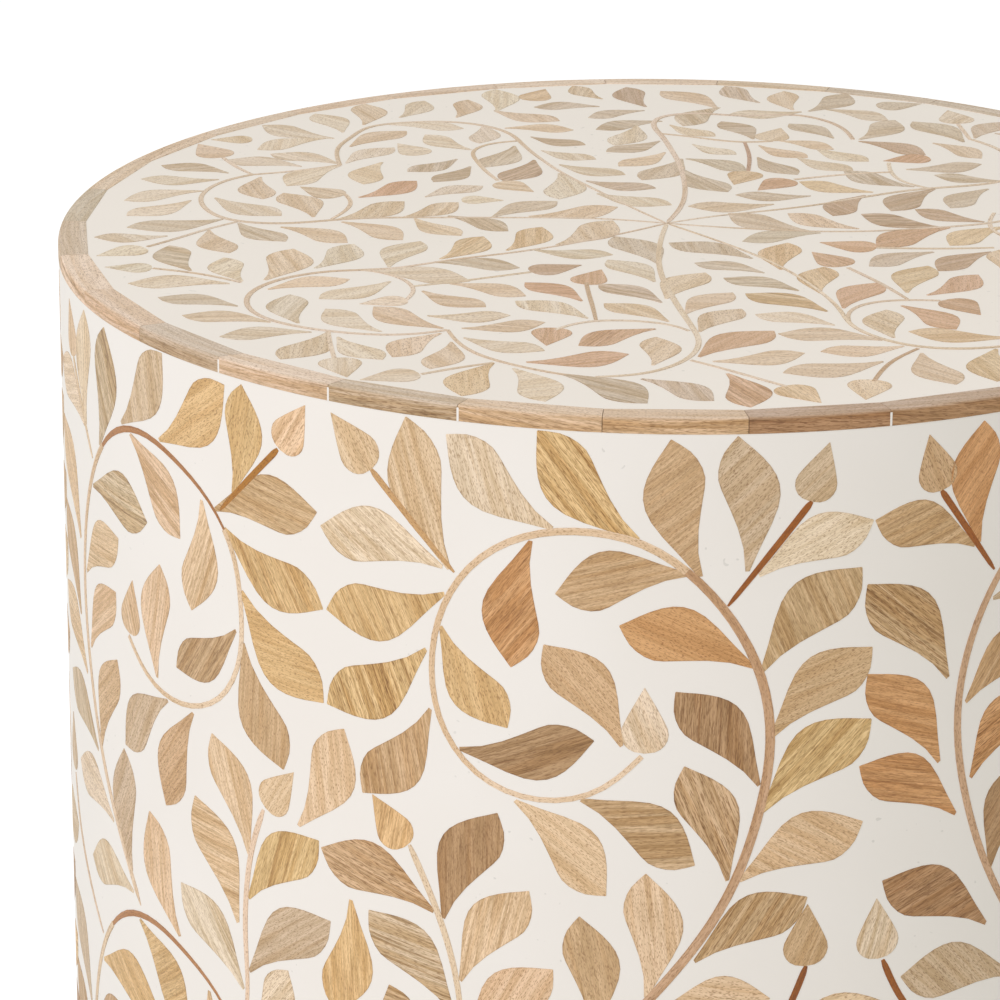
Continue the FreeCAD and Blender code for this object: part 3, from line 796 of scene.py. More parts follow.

# %% [markdown]
# ## The drawing of the top
# On the top, eight vines run out from a hub like spokes, bend over near the rim and curl back, with leaves
# on both hands and buds on short stems. It was drawn by hand, and no two sectors are the same, so it is
# written down leaf by leaf, sorted by wood: base, tip and hand, in hundredths of the radius. Slips near the
# left edge are kept apart, because they are used a second time. Vines, stems and the first places of leaves
# and buds were read off the photo. A separate program then fitted leaves and buds to the wood in the photo,
# chose hands and woods and wrote the rows, so the numbers of leaves and buds are that program's.

# %% Leaves of the top
OPEN_LEAVES = {
    "pale": ((-12.2, -50.8, -23.7, -42.1, -1), (-22.9, -77, -17.6, -92.8, 1),
        (26, -52.5, 13.8, -47.3, -1), (-2, -30.4, -9.6, -18.4, -1), (-21.7, -13.2, -8.8, -15.5, -1),
        (-12, 21.2, 0.6, 14.7, -1), (-18.8, 33.6, -18.3, 17.3, 1), (-30.9, -61.8, -18.4, -67.9, -1),
        (-50.2, -62.4, -42.7, -73.6, -1), (-54.4, -60.2, -68.3, -63.2, -1),
        (-56.7, -55.6, -59.3, -40.4, 1), (-43.7, -59.3, -53.1, -47.8, 1), (-43.9, -32.3, -54.5, -42.5, 1),
        (-37.1, -50.6, -24.2, -49.8, -1), (-69.2, -35, -85.3, -35.6, -1), (-56.4, -25.6, -51, -11.5, -1),
        (-44.5, -24.3, -40.3, -9.3, 1), (-49.5, -26.2, -31.2, -31.5, 1), (-40.8, 17.4, -31.4, 24.8, 1),
        (-33.2, 65.1, -33.1, 52.6, 1), (-34.3, 48.2, -42.9, 57.9, 1), (-49.6, 64.4, -36.3, 62.5, 1),
        (-31, 75, -31.7, 90.4, -1), (23.6, 77.4, 10.7, 75, 1), (28, 79.2, 38.9, 72.2, 1),
        (0.1, 67, 8.1, 59.5, -1), (-5.9, 66.2, -9.5, 52.5, 1), (-22.2, 48.5, -12.6, 43.1, -1),
        (-18.8, 39.3, -7.4, 33.3, -1), (4.1, 54, 11.7, 47.6, -1), (25.5, 52.7, 34.5, 44.2, -1),
        (22.2, 46.3, 31.6, 37.9, -1),),
    "pink": ((0.3, -51.9, -9.8, -42.7, -1), (0, -39.6, 6.1, -24.9, 1), (3, -47.7, 10.4, -35.8, 1),
        (5.2, -56.9, 11.7, -44.5, 1), (-2, -74.3, -1.5, -60, -1), (7.1, -71.9, 21.1, -67, -1),
        (32.8, -70.6, 17.6, -77.1, 1), (38.9, -66.1, 43.3, -81.5, -1), (36.3, -62.6, 23.5, -66.2, 1),
        (33.1, -59.9, 17.2, -57.3, -1), (35, -58.5, 34.3, -43.8, 1), (-18.1, -10.2, -9.1, 4.6, -1),
        (-23.1, 6.5, -8.4, 12.9, -1), (17.7, 16.1, 3.3, 14, 1), (31.5, 1.9, 19.9, 10.5, 1),
        (-32.8, -64.2, -35.3, -77.8, 1), (-34.5, -59.8, -41.3, -72.2, -1),
        (-51.8, -59.6, -58.1, -74.2, 1), (-61.1, -55.4, -75.1, -52.4, -1),
        (-34.3, -57.1, -45.7, -46.3, 1), (-62.9, -37.8, -50.4, -31.5, 1),
        (-38.5, -37.3, -28.2, -45.5, -1), (-34.4, -33.2, -22.1, -39.3, 1),
        (-31.5, -56.9, -18.7, -53.2, -1), (-63.9, -32.6, -60.6, -14.8, -1),
        (-63.7, -2.1, -52.1, -10.7, 1), (-53.9, 1.5, -43.2, -8.6, 1), (-41.9, 4.4, -33.8, -5.6, -1),
        (-55.1, 2.6, -44.2, 14.4, -1), (-44.3, 4.6, -35.1, 14.3, -1), (-38, 70.1, -36.4, 82.6, -1),
        (-12.1, 84.5, -17.8, 93.7, 1), (8.5, 79, -1.7, 90.7, -1), (22.2, 78.5, 20.7, 91.9, 1),
        (-31.4, 75.3, -19.5, 68.6, -1), (-29.1, 63.1, -16.9, 62.5, 1), (-0.7, 48.3, -8.6, 38.8, 1),
        (15.7, 53.8, 24, 46, -1), (19.1, 57.1, 28.7, 51.9, 1), (46.1, 57, 54.1, 47.3, 1),),
    "honey": ((50.4, -63.4, 49.5, -79.7, -1), (25, -45.2, 12.4, -36.2, -1), (52.8, -57.4, 37.3, -55.1, 1),
        (38, -34.3, 41.9, -19.2, 1), (24.3, -35.3, 25.2, -20.6, 1), (18.3, -22.5, 19.6, -7.1, 1),
        (-26.1, -13.8, -20.7, 0.1, -1), (-36.6, -19.3, -30.1, -6, -1), (34.6, 24.5, 22.2, 30.4, 1),
        (55.7, 4.4, 46, -7.2, -1), (-25.9, -74.6, -30, -90.8, -1),),
    "orange": ((-13.3, -41.6, -22.5, -31.9, -1), (5.1, -69.8, 16.6, -55.9, 1),
        (-1.6, -55.8, -13.3, -65, -1), (-21, -73.7, -5.6, -69, -1), (9.2, -77.9, 12.6, -94, 1),
        (27.7, -43.3, 33.7, -29, 1), (36.7, -41.5, 44.7, -53.6, 1), (41, -35.5, 49.7, -23.8, -1),
        (46.5, 3.3, 34, -8.7, -1), (-52, 16.6, -42.8, 27.4, -1),),
    "grey": ((-0.8, -41.8, -10.8, -32.1, -1), (-3.6, -81.2, 7.2, -91.2, 1),
        (-15.6, -79.4, -2.6, -92.9, 1), (20.8, -34.2, 9, -27.7, -1), (-1.3, -20.7, -8.7, -4.8, -1),
        (13.7, -16.5, 0.2, -8.1, -1), (15.5, -24.6, 4.4, -19.4, -1), (-37.6, -21.3, -23.6, -23.7, 1),
        (-14, 29.1, -2.1, 25, -1), (-29.1, 5.6, -18.6, 15.9, 1), (2.8, 36.7, 10, 23.3, -1),
        (24, 21.6, 11.3, 21.5, 1), (24.2, -0.5, 10, 10.1, 1), (25.1, -0.9, 12.2, -6.6, -1),
        (54.2, 27.5, 47.2, 15.3, -1), (43.2, -11.2, 32.4, -19.8, -1), (-36.5, 6, -26.2, -2.5, 1),
        (-36.6, 42, -44.7, 33.3, 1), (-34.1, 37.3, -39.9, 27, 1), (-27, 51.1, -31.6, 36.8, 1),
        (16.2, 83.4, 10, 95.1, 1), (24.8, 77.8, 32.2, 90.6, -1), (-12.6, 79, -24.4, 78.1, -1),
        (-4.5, 76.7, -14.5, 71.1, -1), (9, 79.6, 2.4, 66.4, -1), (33.3, 58.8, 40.1, 72.4, -1),
        (28.8, 59.3, 21.2, 68.9, -1), (14.7, 58, 9.2, 69.8, -1), (-1.3, 69.4, -13, 63.1, -1),
        (-1.7, 55.9, -10.9, 48.1, 1), (-24.3, 57.5, -14.6, 52.5, -1), (2.2, 44.2, -4.5, 30.1, 1),
        (2.9, 44.2, 13.4, 36.7, 1), (15.4, 45.9, 22, 34.9, -1), (41.7, 28.3, 30, 37.5, 1),
        (51.5, 58, 43.2, 71.5, -1), (53.7, 60.7, 59.5, 72.2, 1), (40.7, 39.4, 53.9, 43.4, -1),
        (56.7, 32.8, 45.4, 35.9, 1),),
    "hazel": ((45.8, 3.1, 32.1, 10.7, 1), (33.2, 22.4, 27.4, 9.5, -1), (45.1, 26.9, 37.2, 13, -1),
        (52.4, 7.1, 41.2, 14.1, 1), (52.6, -10.6, 43.4, -21.9, -1), (-23.3, 42, -28, 28.1, 1),
        (-4.2, 79.4, -8, 93.3, 1), (33.2, 57.5, 44.5, 49.1, 1),),
}
EDGE_LEAVES = {
    "pale": ((-67.3, -33.4, -71.4, -20.4, 1), (-81.7, -8.3, -93.6, -9.7, 1), (-80, 13.3, -89.7, 3.4, 1),
        (-78.4, 19.2, -91.1, 12.6, -1), (-76.4, 26.6, -89.7, 26.2, 1), (-76, 15.1, -64.1, 4.7, -1),
        (-56.4, 36.5, -64.6, 23.2, -1), (-55.5, 38.2, -47.8, 48.9, 1), (-57.5, 58.7, -63.2, 71.2, -1),
        (-48.1, 69.5, -44.2, 81.4, -1), (-58.7, 54.6, -72, 62.7, 1), (-60.2, 54.5, -71.5, 46.3, -1),
        (-63, 35.6, -76.6, 38.9, -1), (-56.6, 37.6, -69, 43.6, -1),),
    "pink": ((-75.2, -4.6, -70.8, -17.7, -1), (-69.4, 28.5, -68, 14.7, -1), (-58.8, 4.2, -64.8, 18.6, -1),
        (-49.3, 39.1, -51.7, 24.9, -1), (-55.5, 49.1, -46.3, 60.2, 1), (-54.2, 64.1, -54.8, 78.7, -1),),
    "grey": ((-66.9, -47.2, -79.8, -43, -1), (-76, -28, -80.9, -13.9, 1), (-73.6, 2.2, -88.9, -3.7, 1),
        (-75.2, 30.7, -87.1, 35.1, -1), (-70.8, 0.1, -62.2, -10.5, -1),),
}
print("leaves in the lists:", sum(map(len, OPEN_LEAVES.values())) + sum(map(len, EDGE_LEAVES.values())))

# %% Buds of the top
OPEN_BUDS = {
    "pale": ((-36.9, -80.1, -45.5, -83.8), (-49.6, -73, -47.5, -82.5), (-40.7, -42.2, -48, -44.9),
        (-34.7, 16.2, -27.6, 16.1), (-42.7, 44.4, -47.4, 51.7), (51.6, 70.7, 49.8, 79.8),),
    "pink": ((30.7, -79.8, 29.6, -89.5), (-28.9, 27.4, -22.7, 21.6), (17.3, 57.1, 19.7, 65.9),),
    "honey": ((17.7, -83.5, 23, -91.4), (-25.1, 82.7, -22.7, 91.1), (13.9, 36.6, 11.1, 28),),
    "orange": ((-17.3, -56, -18.2, -65.2), (-13.2, -32.3, -10.5, -24), (28.7, -19.9, 23.4, -12.2),
        (44.3, -37.6, 48.9, -45.8), (33.9, -9.6, 24.8, -6.5), (20.6, 31.8, 15.1, 24.6),
        (45.1, 47.2, 37, 44.6),),
    "grey": ((37.3, 81.5, 45.4, 84.3),),
    "hazel": ((-21.8, -25.7, -13.7, -21.6),),
}
EDGE_BUDS = {
    "pale": ((-82.4, -27, -90, -26.7), (-84.6, -15.6, -92, -20.5),),
    "pink": ((-55.1, 17, -62.3, 22.7), (-77.2, 40.9, -82.1, 49.5), (-72.9, 53, -80.1, 52.5),),
}
print("buds in the lists:", sum(map(len, OPEN_BUDS.values())) + sum(map(len, EDGE_BUDS.values())))

# %% Vines and stems of the top
TOP_VINES = (
    ((-0.2, 3.5), (-1, -5), (-1.4, -15), (-0.9, -26.2), (0.5, -36.2), (2.1, -45), (4, -54.4), (5, -61.9),
     (4.2, -68.1), (1.5, -73.8), (-3.5, -78.5), (-10.4, -80.6)),
    ((-0.2, 3.5), (-6.2, -1.9), (-15, -8.8), (-25, -15), (-36.2, -20.6), (-45.6, -25.6), (-52.5, -26.9),
     (-58.1, -29.4), (-63.1, -34.4), (-65.6, -40.6), (-65.6, -45.6), (-63.1, -51.9), (-58.1, -56.5),
     (-51.2, -59.6), (-43.8, -60.9), (-36.9, -59.6), (-33.6, -57.9)),
    ((-0.2, 3.5), (-8.8, 5.4), (-18.8, 5.9), (-30, 5.4), (-42.5, 4.8), (-53.8, 3.1), (-61.2, 0.6),
     (-67.5, 0.2), (-73.1, 2.5), (-76.9, 8.1), (-78.4, 15), (-77.2, 21.9), (-73.8, 27.5), (-71, 30)),
    ((-0.2, 3.5), (-6.2, 13.1), (-12.5, 23.8), (-18.1, 33.8), (-22.5, 43.8), (-25.6, 52.5),
     (-28.1, 59.4), (-32.5, 64.4), (-38.8, 66.9), (-46.2, 66.2), (-52.5, 63.1), (-55.6, 56.2),
     (-57.5, 48.8), (-57.2, 41.2), (-56.5, 36.9)),
    ((-0.2, 3.5), (1.9, 12.5), (2.8, 22.5), (2.5, 32.5), (1.6, 42.5), (0.2, 51.2), (-1.5, 60),
     (-2.8, 67.5), (-1.5, 72.2), (5, 75.2), (13.8, 74), (22.5, 75), (26.9, 72.2), (30.6, 66.2),
     (32.2, 58.8)),
    ((-0.2, 3.5), (7.5, 8.1), (16.2, 11.9), (25, 16.2), (33.8, 21.9), (43.8, 27.2), (51.2, 29.6),
     (57, 33.1), (59.8, 40), (59.2, 47.5), (57.1, 54), (53.1, 59.8)),
    ((-0.2, 3.5), (7.5, 1.9), (16.2, 0.6), (26.2, 0), (36.2, 1.2), (45, 3.5), (53.8, 6.9), (61.2, 12.8),
     (66.5, 16), (71.6, 16.2), (76.2, 11.9), (78.8, 5), (78.5, -2.5), (76, -8.1), (72.5, -11.9),
     (67.5, -15.6), (60.9, -20)),
    ((-0.2, 3.5), (7.5, -5.6), (15, -15.6), (20.6, -25.6), (24.4, -35), (27.2, -45), (28.8, -52.5),
     (32.5, -58.5), (38.8, -62.8), (45, -63.5), (50.6, -62.2), (56.2, -58.8), (60.8, -52.5),
     (63.2, -42.5), (63.8, -33.8), (62.6, -25.6), (60.9, -20)),
)
LIGHT_STEMS = (
    ((-33.6, -57.9), (-32.1, -63.1), (-28.5, -70), (-23.1, -75), (-17.5, -78.5), (-14.8, -79.8)),
    ((-71, 30), (-63.8, 32.8), (-56.5, 36.9)),
    ((3.5, -56.5), (1.2, -54), (-3.1, -52.1), (-6.9, -51.6), (-11.2, -52.2), (-14.8, -54.4),
     (-17, -57.1)),
    ((3.8, -71.5), (8.1, -75), (13.1, -79.4), (18.1, -83.8)),
    ((-25.9, -74.2), (-31.2, -77.1), (-36.5, -80.5)),
    ((-48.1, -26.2), (-43.8, -29), (-40.9, -33.1), (-40, -38.1), (-40.8, -42.2)),
    ((-40.1, -34.8), (-35.6, -32.9), (-28.8, -29.6), (-21.8, -26)),
    ((-51.8, -60), (-51, -66.9), (-50, -73.4)),
    ((-26.5, 54.6), (-30.9, 52.5), (-33.8, 47.9), (-33.2, 41.2), (-31.5, 35), (-29, 28.5)),
    ((44.4, 27.2), (40.2, 31.2), (38.2, 36.9), (37.9, 43.5)),
    ((38.2, 37.5), (30, 35.4), (21.4, 31.8)),
    ((53.1, -8.1), (43.8, -9.1), (34, -9.1)),
    ((28.4, -51.2), (28.5, -45.6), (31.2, -40.9), (36.2, -38.6), (43, -38.4)),
    ((37.8, -37.8), (34.1, -29.8), (29, -20.8)),
    ((52.8, 59.8), (52, 65), (51.2, 70.2)),
    ((-1.8, 61), (5, 58.5), (12.5, 56), (18.1, 56.8)),
)
HONEY_STEMS = (
    ((-10.9, -51.5), (-11.6, -43.8), (-12.4, -36.2), (-12.8, -31.5)),
    ((38.4, -63.8), (34.4, -70.2), (31.1, -80.6)),
)
RED_STEMS = (
    ((13.2, 55.6), (13.9, 46.2), (13.6, 36.9)),
)
EDGE_STEMS = (
    ((-67.5, -34.1), (-74.4, -29.8), (-82.2, -27)),
    ((-55.6, 3.2), (-53.6, 8.8), (-53.2, 13.8), (-54.4, 18.4)),
    ((-71.2, 0.6), (-75.6, -4), (-80, -9.6), (-84.4, -14.8)),
    ((-71, 30), (-74.1, 34.8), (-77, 40.8)),
)
print("vines:", len(TOP_VINES), "stems:", len(LIGHT_STEMS + HONEY_STEMS + RED_STEMS + EDGE_STEMS))

# %% [markdown]
# ## The edge that the photo cuts off
# The right edge of the top is outside the photo. The drawing looks much the same after half a turn about
# its hub, so the slips of the left edge are turned over to the right edge. The angle is a little less than
# half a turn, because that is where the vines of both edges meet best.

# %% Turn the left edge over
HUB = np.array([-0.25, 3.5])
HALF_TURN = math.radians(-170.7)


def turned_over(points):
    """Points turned about the hub: less the hub, times a turn, plus the hub."""
    cosine, sine = math.cos(HALF_TURN), math.sin(HALF_TURN)
    return (np.array(points, dtype=float) - HUB) @ np.array([[cosine, sine], [-sine, cosine]]) + HUB


def listed(by_wood):
    """Slips that are sorted by wood as one array, and the wood of each row."""
    rows = np.array([slip for slips in by_wood.values() for slip in slips], dtype=float)
    return rows, [wood for wood, slips in by_wood.items() for _ in slips]


def whole_top(open_slips, edge_slips):
    """All slips of a kind: the listed ones, and those of the left edge once more, turned over."""
    here, here_woods = listed(open_slips)
    edge, edge_woods = listed(edge_slips)
    over = np.concatenate([turned_over(edge[:, 0:2]), turned_over(edge[:, 2:4]), edge[:, 4:]], axis=1)
    return np.concatenate([here, edge, over]), here_woods + edge_woods * 2


print("hub to the turned edge:", turned_over([[-80, 3.5]]).round(1))

# %% [markdown]
# ## Slips of the top
# The top's wood looks paler than the side's: seen at a low angle, its flat face shows a white sheen. That
# sheen is painted: the tones of the top's slips are mixed with some white, which also softens their figure.

# %% Leaves and buds of the top
# Share of painted white sheen on the top's slips.
TOP_PAINTED_SHEEN = 0.22
TOP_FIGURE = (0.0, 0.8)

leaves, woods = whole_top(OPEN_LEAVES, EDGE_LEAVES)
top_leaves = set_leaves("top_leaf_slips", leaf_points, leaves, woods, on_top, top_wood,
                        TOP_FIGURE, TOP_PAINTED_SHEEN)
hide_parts("top_leaves")

buds, woods = whole_top(OPEN_BUDS, EDGE_BUDS)
top_buds = set_leaves("top_bud_slips", bud_points, buds, woods, on_top, top_wood,
                      TOP_FIGURE, TOP_PAINTED_SHEEN)
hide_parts("top_buds")
print("top leaves:", len(leaves), "top buds:", len(buds))

# %% Vines and stems of the top, as strips
SCROLL_WIDTHS = np.interp(share, (0, 0.01, 0.5, 1), (0.05, 0.8, 1.0, 0.75))
SPOKE_WIDTHS = np.interp(share, (0, 0.01, 0.3, 0.6, 1), (0.05, 0.45, 0.6, 0.9, 0.75))
SCROLLS = (0, 4)
TOP_STEM_WIDTHS = np.interp(np.linspace(0, 1, STEM_STEPS), (0, 0.5, 1), (0.6, 0.75, 0.7))

# The top's vines and stems carry the same painted sheen.
lines = np.array([smooth_line(line, VINE_STEPS) for line in TOP_VINES])
widths = np.array([SCROLL_WIDTHS if index in SCROLLS else SPOKE_WIDTHS for index in range(len(lines))])
top_vines = set_strips("top_vine_strips", lines, widths, on_top, VINE_DEPTH, ["light_strip"] * len(lines),
                       painted_sheen=TOP_PAINTED_SHEEN)
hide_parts("top_vines")

light = LIGHT_STEMS + EDGE_STEMS + tuple(turned_over(line) for line in EDGE_STEMS)
lines = np.array([smooth_line(line, STEM_STEPS) for line in light + HONEY_STEMS + RED_STEMS])
woods = ["light_strip"] * len(light) + ["honey_strip"] * len(HONEY_STEMS) + ["red_strip"] * len(RED_STEMS)
top_stems = set_strips("top_stem_strips", lines, TOP_STEM_WIDTHS, on_top, STEM_DEPTH, woods,
                       painted_sheen=TOP_PAINTED_SHEEN)
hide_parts("top_stems")
print("top vines:", len(TOP_VINES), "top stems:", len(lines))

# %% [markdown]
# ## Resin skins
# The side skin is a ring: a small closed profile carried once round the axis. The top skin is a plate with
# one straight edge per rim strip. Both stop a hair under the slips. The strips were cut by eye, so the
# joints that the photo shows are not quite evenly spaced, and they lean: their outer and inner ends are
# moved by small angles, in degrees, from a joint's number on. Nor is the rim equally wide. Both fade to even
# values where the photo shows nothing.

# %% Joints of the rim
STRIPS = sum(name.startswith("top_rim_strip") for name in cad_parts)
FIRST_JOINT = 1.0
EVEN_WIDTH = 7.5
WIDTHS = ((9, EVEN_WIDTH), (11, 6.6), (13.5, 6.7), (14.7, 7.6), (15.7, 8.9), (17.4, 8.9), (18.9, 8.1),
          (21.2, 7.1), (23, 7.8), (26, EVEN_WIDTH))
OUTER_SHIFT = ((13, 0), (16, -1.1), (17, -1.5), (18, -1.2), (19, -1.5), (20, -1.05), (21, -0.7), (22, -0.2),
               (24, 0.4), (27, 0))
INNER_SHIFT = ((13, 0), (16, -1.1), (18, -0.8), (20, -0.6), (22, -0.3), (24, 0.2), (27, 0))


def plate_corners(width, angles):
    """Corners in plan where straight strips of this width meet: distance from the axis = (radius - width) /
    cos of half a strip's angle."""
    reach = (RADIUS - width * MM) / math.cos(math.pi / STRIPS)
    return np.stack([reach * np.cos(angles), reach * np.sin(angles)], axis=-1)


number = np.arange(STRIPS + 1)
even_joints = np.radians(FIRST_JOINT + number * 360 / STRIPS)
even_corners = plate_corners(EVEN_WIDTH, even_joints)
outer_joints = even_joints + np.radians(np.interp(number, *np.transpose(OUTER_SHIFT)))
inner_joints = even_joints + np.radians(np.interp(number, *np.transpose(INNER_SHIFT)))
corners = plate_corners(np.interp(number, *np.transpose(WIDTHS)), inner_joints)
print("strips:", STRIPS, "longest:", round(float(np.diff(outer_joints).max() * RADIUS / MM), 1), "mm")

# %% Resin round the side and on the top
RING_STEPS = 720
RESIN_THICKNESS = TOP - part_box("top_resin")[0].z


def carried_round(profile, angles):
    """A profile of distances from the axis and heights, set up at each angle round the axis."""
    profile = np.asarray(profile)
    around = angles[:, None]
    return np.stack([profile[:, 0] * np.cos(around), profile[:, 0] * np.sin(around),
                     np.broadcast_to(profile[:, 1], (len(angles), len(profile)))], axis=-1)


def loop_faces(rings, corners, closed):
    """Quads between neighbouring profiles, and on from the last to the first if they go all the way round."""
    index = np.arange(rings * corners).reshape(rings, corners)
    here, there = (index, np.roll(index, -1, axis=0)) if closed else (index[:-1], index[1:])
    quads = np.stack([here, there, np.roll(there, -1, axis=1), np.roll(here, -1, axis=1)], axis=-1)
    return quads.reshape(-1, 4)


outer, inner = RADIUS - RESIN_DEPTH, RADIUS - RESIN_THICKNESS
profile = ((inner, LOWER_RIM_HEAD), (outer, LOWER_RIM_HEAD), (outer, RIM_FOOT), (inner, RIM_FOOT))
angles = np.linspace(0, 2 * math.pi, RING_STEPS, endpoint=False)
side_skin = make_piece("side_resin_skin", carried_round(profile, angles), loop_faces(RING_STEPS, 4, True),
                       resin)
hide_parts("side_resin")

faces_at = np.array([TOP - RESIN_DEPTH, TOP - RESIN_THICKNESS])
plate = np.concatenate([np.broadcast_to(corners[:-1, None], (STRIPS, 2, 2)),
                        np.broadcast_to(faces_at[:, None], (STRIPS, 2, 1))], axis=-1)
index = np.arange(2 * STRIPS).reshape(STRIPS, 2)
onward = np.roll(index, -1, axis=0)
edges = np.stack([index[:, 0], index[:, 1], onward[:, 1], onward[:, 0]], axis=-1)
plate_faces = [index[:, 0].tolist(), index[::-1, 1].tolist()] + edges.tolist()
top_skin = make_piece("top_resin_skin", plate, plate_faces, top_resin)
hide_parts("top_resin")

# %% [markdown]
# ## Rim strips
# The rims are short strips of the same woods, butted end to end. A strip is round outside and straight
# inside, and its outer edge is eased with sandpaper. So its section is a small closed profile: the outer
# points go round the axis from joint to joint, the inner ones go straight from corner to corner. Most
# joints are tight dark lines. At a few the outer edge is open, and a sliver of resin fills it.

# %% One strip
STRIP_STEPS = 9
JOINT = 0.18 * MM
EASE = 0.7 * MM
EASE_STEPS = 4


def strip_solid(outer, ends, foot, head, eased_head):
    """Points (steps, corners, 3) of one strip: outside round the axis between two angles, inside straight
    between two corners of the plate; the eased edge is a quarter circle."""
    share = np.linspace(0, 1, STRIP_STEPS)[:, None]
    angles = outer[0] * (1 - share) + outer[1] * share
    straight = (ends[0] * (1 - share) + ends[1] * share)[:, None, :]
    turn = np.linspace(0, math.pi / 2, EASE_STEPS)
    rounded = np.stack([RADIUS - EASE + EASE * np.cos(turn), EASE * np.sin(turn) - EASE], axis=-1)
    if eased_head:
        outside = np.concatenate([[[RADIUS, foot]], rounded + [0, head]])
    else:
        outside = np.concatenate([rounded[::-1] * [1, -1] + [0, foot], [[RADIUS, head]]])
    round_part = np.stack([outside[:, 0] * np.cos(angles), outside[:, 0] * np.sin(angles)], axis=-1)
    plan = np.concatenate([straight, round_part, straight], axis=1)
    height = np.concatenate([[foot], outside[:, 1], [head]])
    return np.concatenate([plan, np.broadcast_to(height[:, None], plan.shape[:2] + (1,))], axis=-1)


def end_capped(solid):
    """Faces of one strip: its sides, and both ends closed."""
    steps, corners, _ = solid.shape
    first = np.arange(corners)
    ends = [first[::-1].tolist(), (first + (steps - 1) * corners).tolist()]
    return loop_faces(steps, corners, False).tolist() + ends


sample = strip_solid(outer_joints[:2], corners[:2], RIM_FOOT, TOP, True)
print("points of a strip:", sample.shape)

# %% All strips
RIM_WOODS = ("rose", "tan", "rose", "sand", "grey", "grey", "tan", "rose", "rose", "sand",
             "sand", "sand", "tan", "sand", "grey", "grey", "rose", "rose", "grey", "rose",
             "grey", "sand", "tan", "brown", "brown", "tan", "rose", "grey", "sand", "tan")
# White of the painted sheen on the rim's upper face, how much of it, and the weak figure under it.
RIM_SHEEN_WHITE = tone(240, 233, 222)
RIM_PAINTED_SHEEN = 0.24
FIGURE_UNDER_SHEEN = 0.15
RIM_FIGURE = (0.6, 1.0)
RIM_VARIED = 0.02
GRAIN_LEAN = 0.06


def rim_strip(name, index, outer, inner, foot, head, eased_head):
    """One strip with its own wood, grain along it that leans a little, and painted sheen on its upper face.
    The grain runs on over the edge: across it = distance from the axis - height."""
    start, stop = inner[index:index + 2]
    stop = stop + (start - stop) * JOINT / np.hypot(*(start - stop))
    angles = outer[index:index + 2] - [0, JOINT / RADIUS]
    solid = strip_solid(angles, np.array([start, stop]), foot, head, eased_head)
    along = np.linspace(0, (outer[index + 1] - outer[index]) * RADIUS, STRIP_STEPS)[:, None]
    reach = np.hypot(solid[..., 0], solid[..., 1])
    across = reach - solid[..., 2] + GRAIN_LEAN * chance.standard_normal() * along
    apart = chance.uniform(0, FAR_APART)
    grain = np.stack([np.broadcast_to(along, reach.shape), across, np.full(reach.shape, apart)], axis=-1)
    # Painted sheen: the upper face and eased edge mixed towards white, with less figure.
    sheen_share = np.clip((solid[..., 2:] - head + EASE) / EASE, 0, 1) * [RIM_PAINTED_SHEEN, RIM_PAINTED_SHEEN, RIM_PAINTED_SHEEN, 1]
    wood = shaded(["rim_" + RIM_WOODS[index]], 1, RIM_FIGURE, varied=RIM_VARIED)[0]
    tones = wood * (1 - sheen_share) + np.append(RIM_SHEEN_WHITE, FIGURE_UNDER_SHEEN) * sheen_share
    attributes = {"tone": ("FLOAT_COLOR", "color", tones), "grain": ("FLOAT_VECTOR", "vector", grain),
                  "edge": ("FLOAT", "value", np.zeros(reach.shape))}
    return make_piece(name, solid, end_capped(solid), rim_wood, attributes)


for index in range(STRIPS):
    label = "_%02d" % (index + 1)
    upper = rim_strip("rim_strip" + label, index, outer_joints, corners, RIM_FOOT, TOP, True)
    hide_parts("top_rim_strip" + label)
    lower = rim_strip("lower_rim_strip" + label, index, even_joints, even_corners, LOWER_RIM_FOOT,
                      LOWER_RIM_HEAD, False)
    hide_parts("bottom_rim_strips")

# %% Resin in the open joints
SLIVER_WIDTH = 0.6 * MM
SLIVER_DEPTH = 0.4 * MM
SLIVER_PROUD = 0.02 * MM
SLIVER_STEPS = 3
OPEN_JOINTS = [3, 8, 12, 19, 20, 21, 24, 27]

front, back = RADIUS + SLIVER_PROUD, RADIUS - SLIVER_DEPTH
profile = ((back, RIM_FOOT), (front, RIM_FOOT), (front, TOP - EASE), (back, TOP - EASE))
spread = np.linspace(-0.5, 0.5, SLIVER_STEPS) * SLIVER_WIDTH / RADIUS
middles = outer_joints[OPEN_JOINTS][:, None]
slivers = carried_round(profile, (middles + spread).ravel()).reshape(len(middles), SLIVER_STEPS, 4, 3)
sliver_faces = np.array(end_capped(slivers[0]))
sliver_faces = (sliver_faces + 4 * SLIVER_STEPS * np.arange(len(middles))[:, None, None]).reshape(-1, 4)
make_piece("rim_joint_resin", slivers, sliver_faces, resin)

# %% [markdown]
# ## Hidden structure
# Boards, walls, battens and felt pads keep their CAD shape. They are raw wood and felt, and only the
# underside ever shows, so their finishes read Object coordinates and need no attributes.

# %% Raw wood and felt
BOARD_DARK, BOARD_LIGHT = (0.46, 0.31, 0.18, 1), (0.62, 0.46, 0.30, 1)
FELT_DARK, FELT_LIGHT = (0.028, 0.02, 0.016, 1), (0.085, 0.066, 0.052, 1)


def raw_wood():
    """Plain board: streaks along X from stretched noise, with a dry, even roughness."""
    material, add, feed = new_material("raw_wood")
    streaks = between(add, own_noise(add, (9, 260, 260), 4.0, 0.4), 0.3, 0.7)
    feed({"Base Color": mixed(add, streaks, BOARD_DARK, BOARD_LIGHT), "Roughness": 0.75,
          "Normal": bumped(add, streaks, 0.3, 0.2 * MM)})
    return material


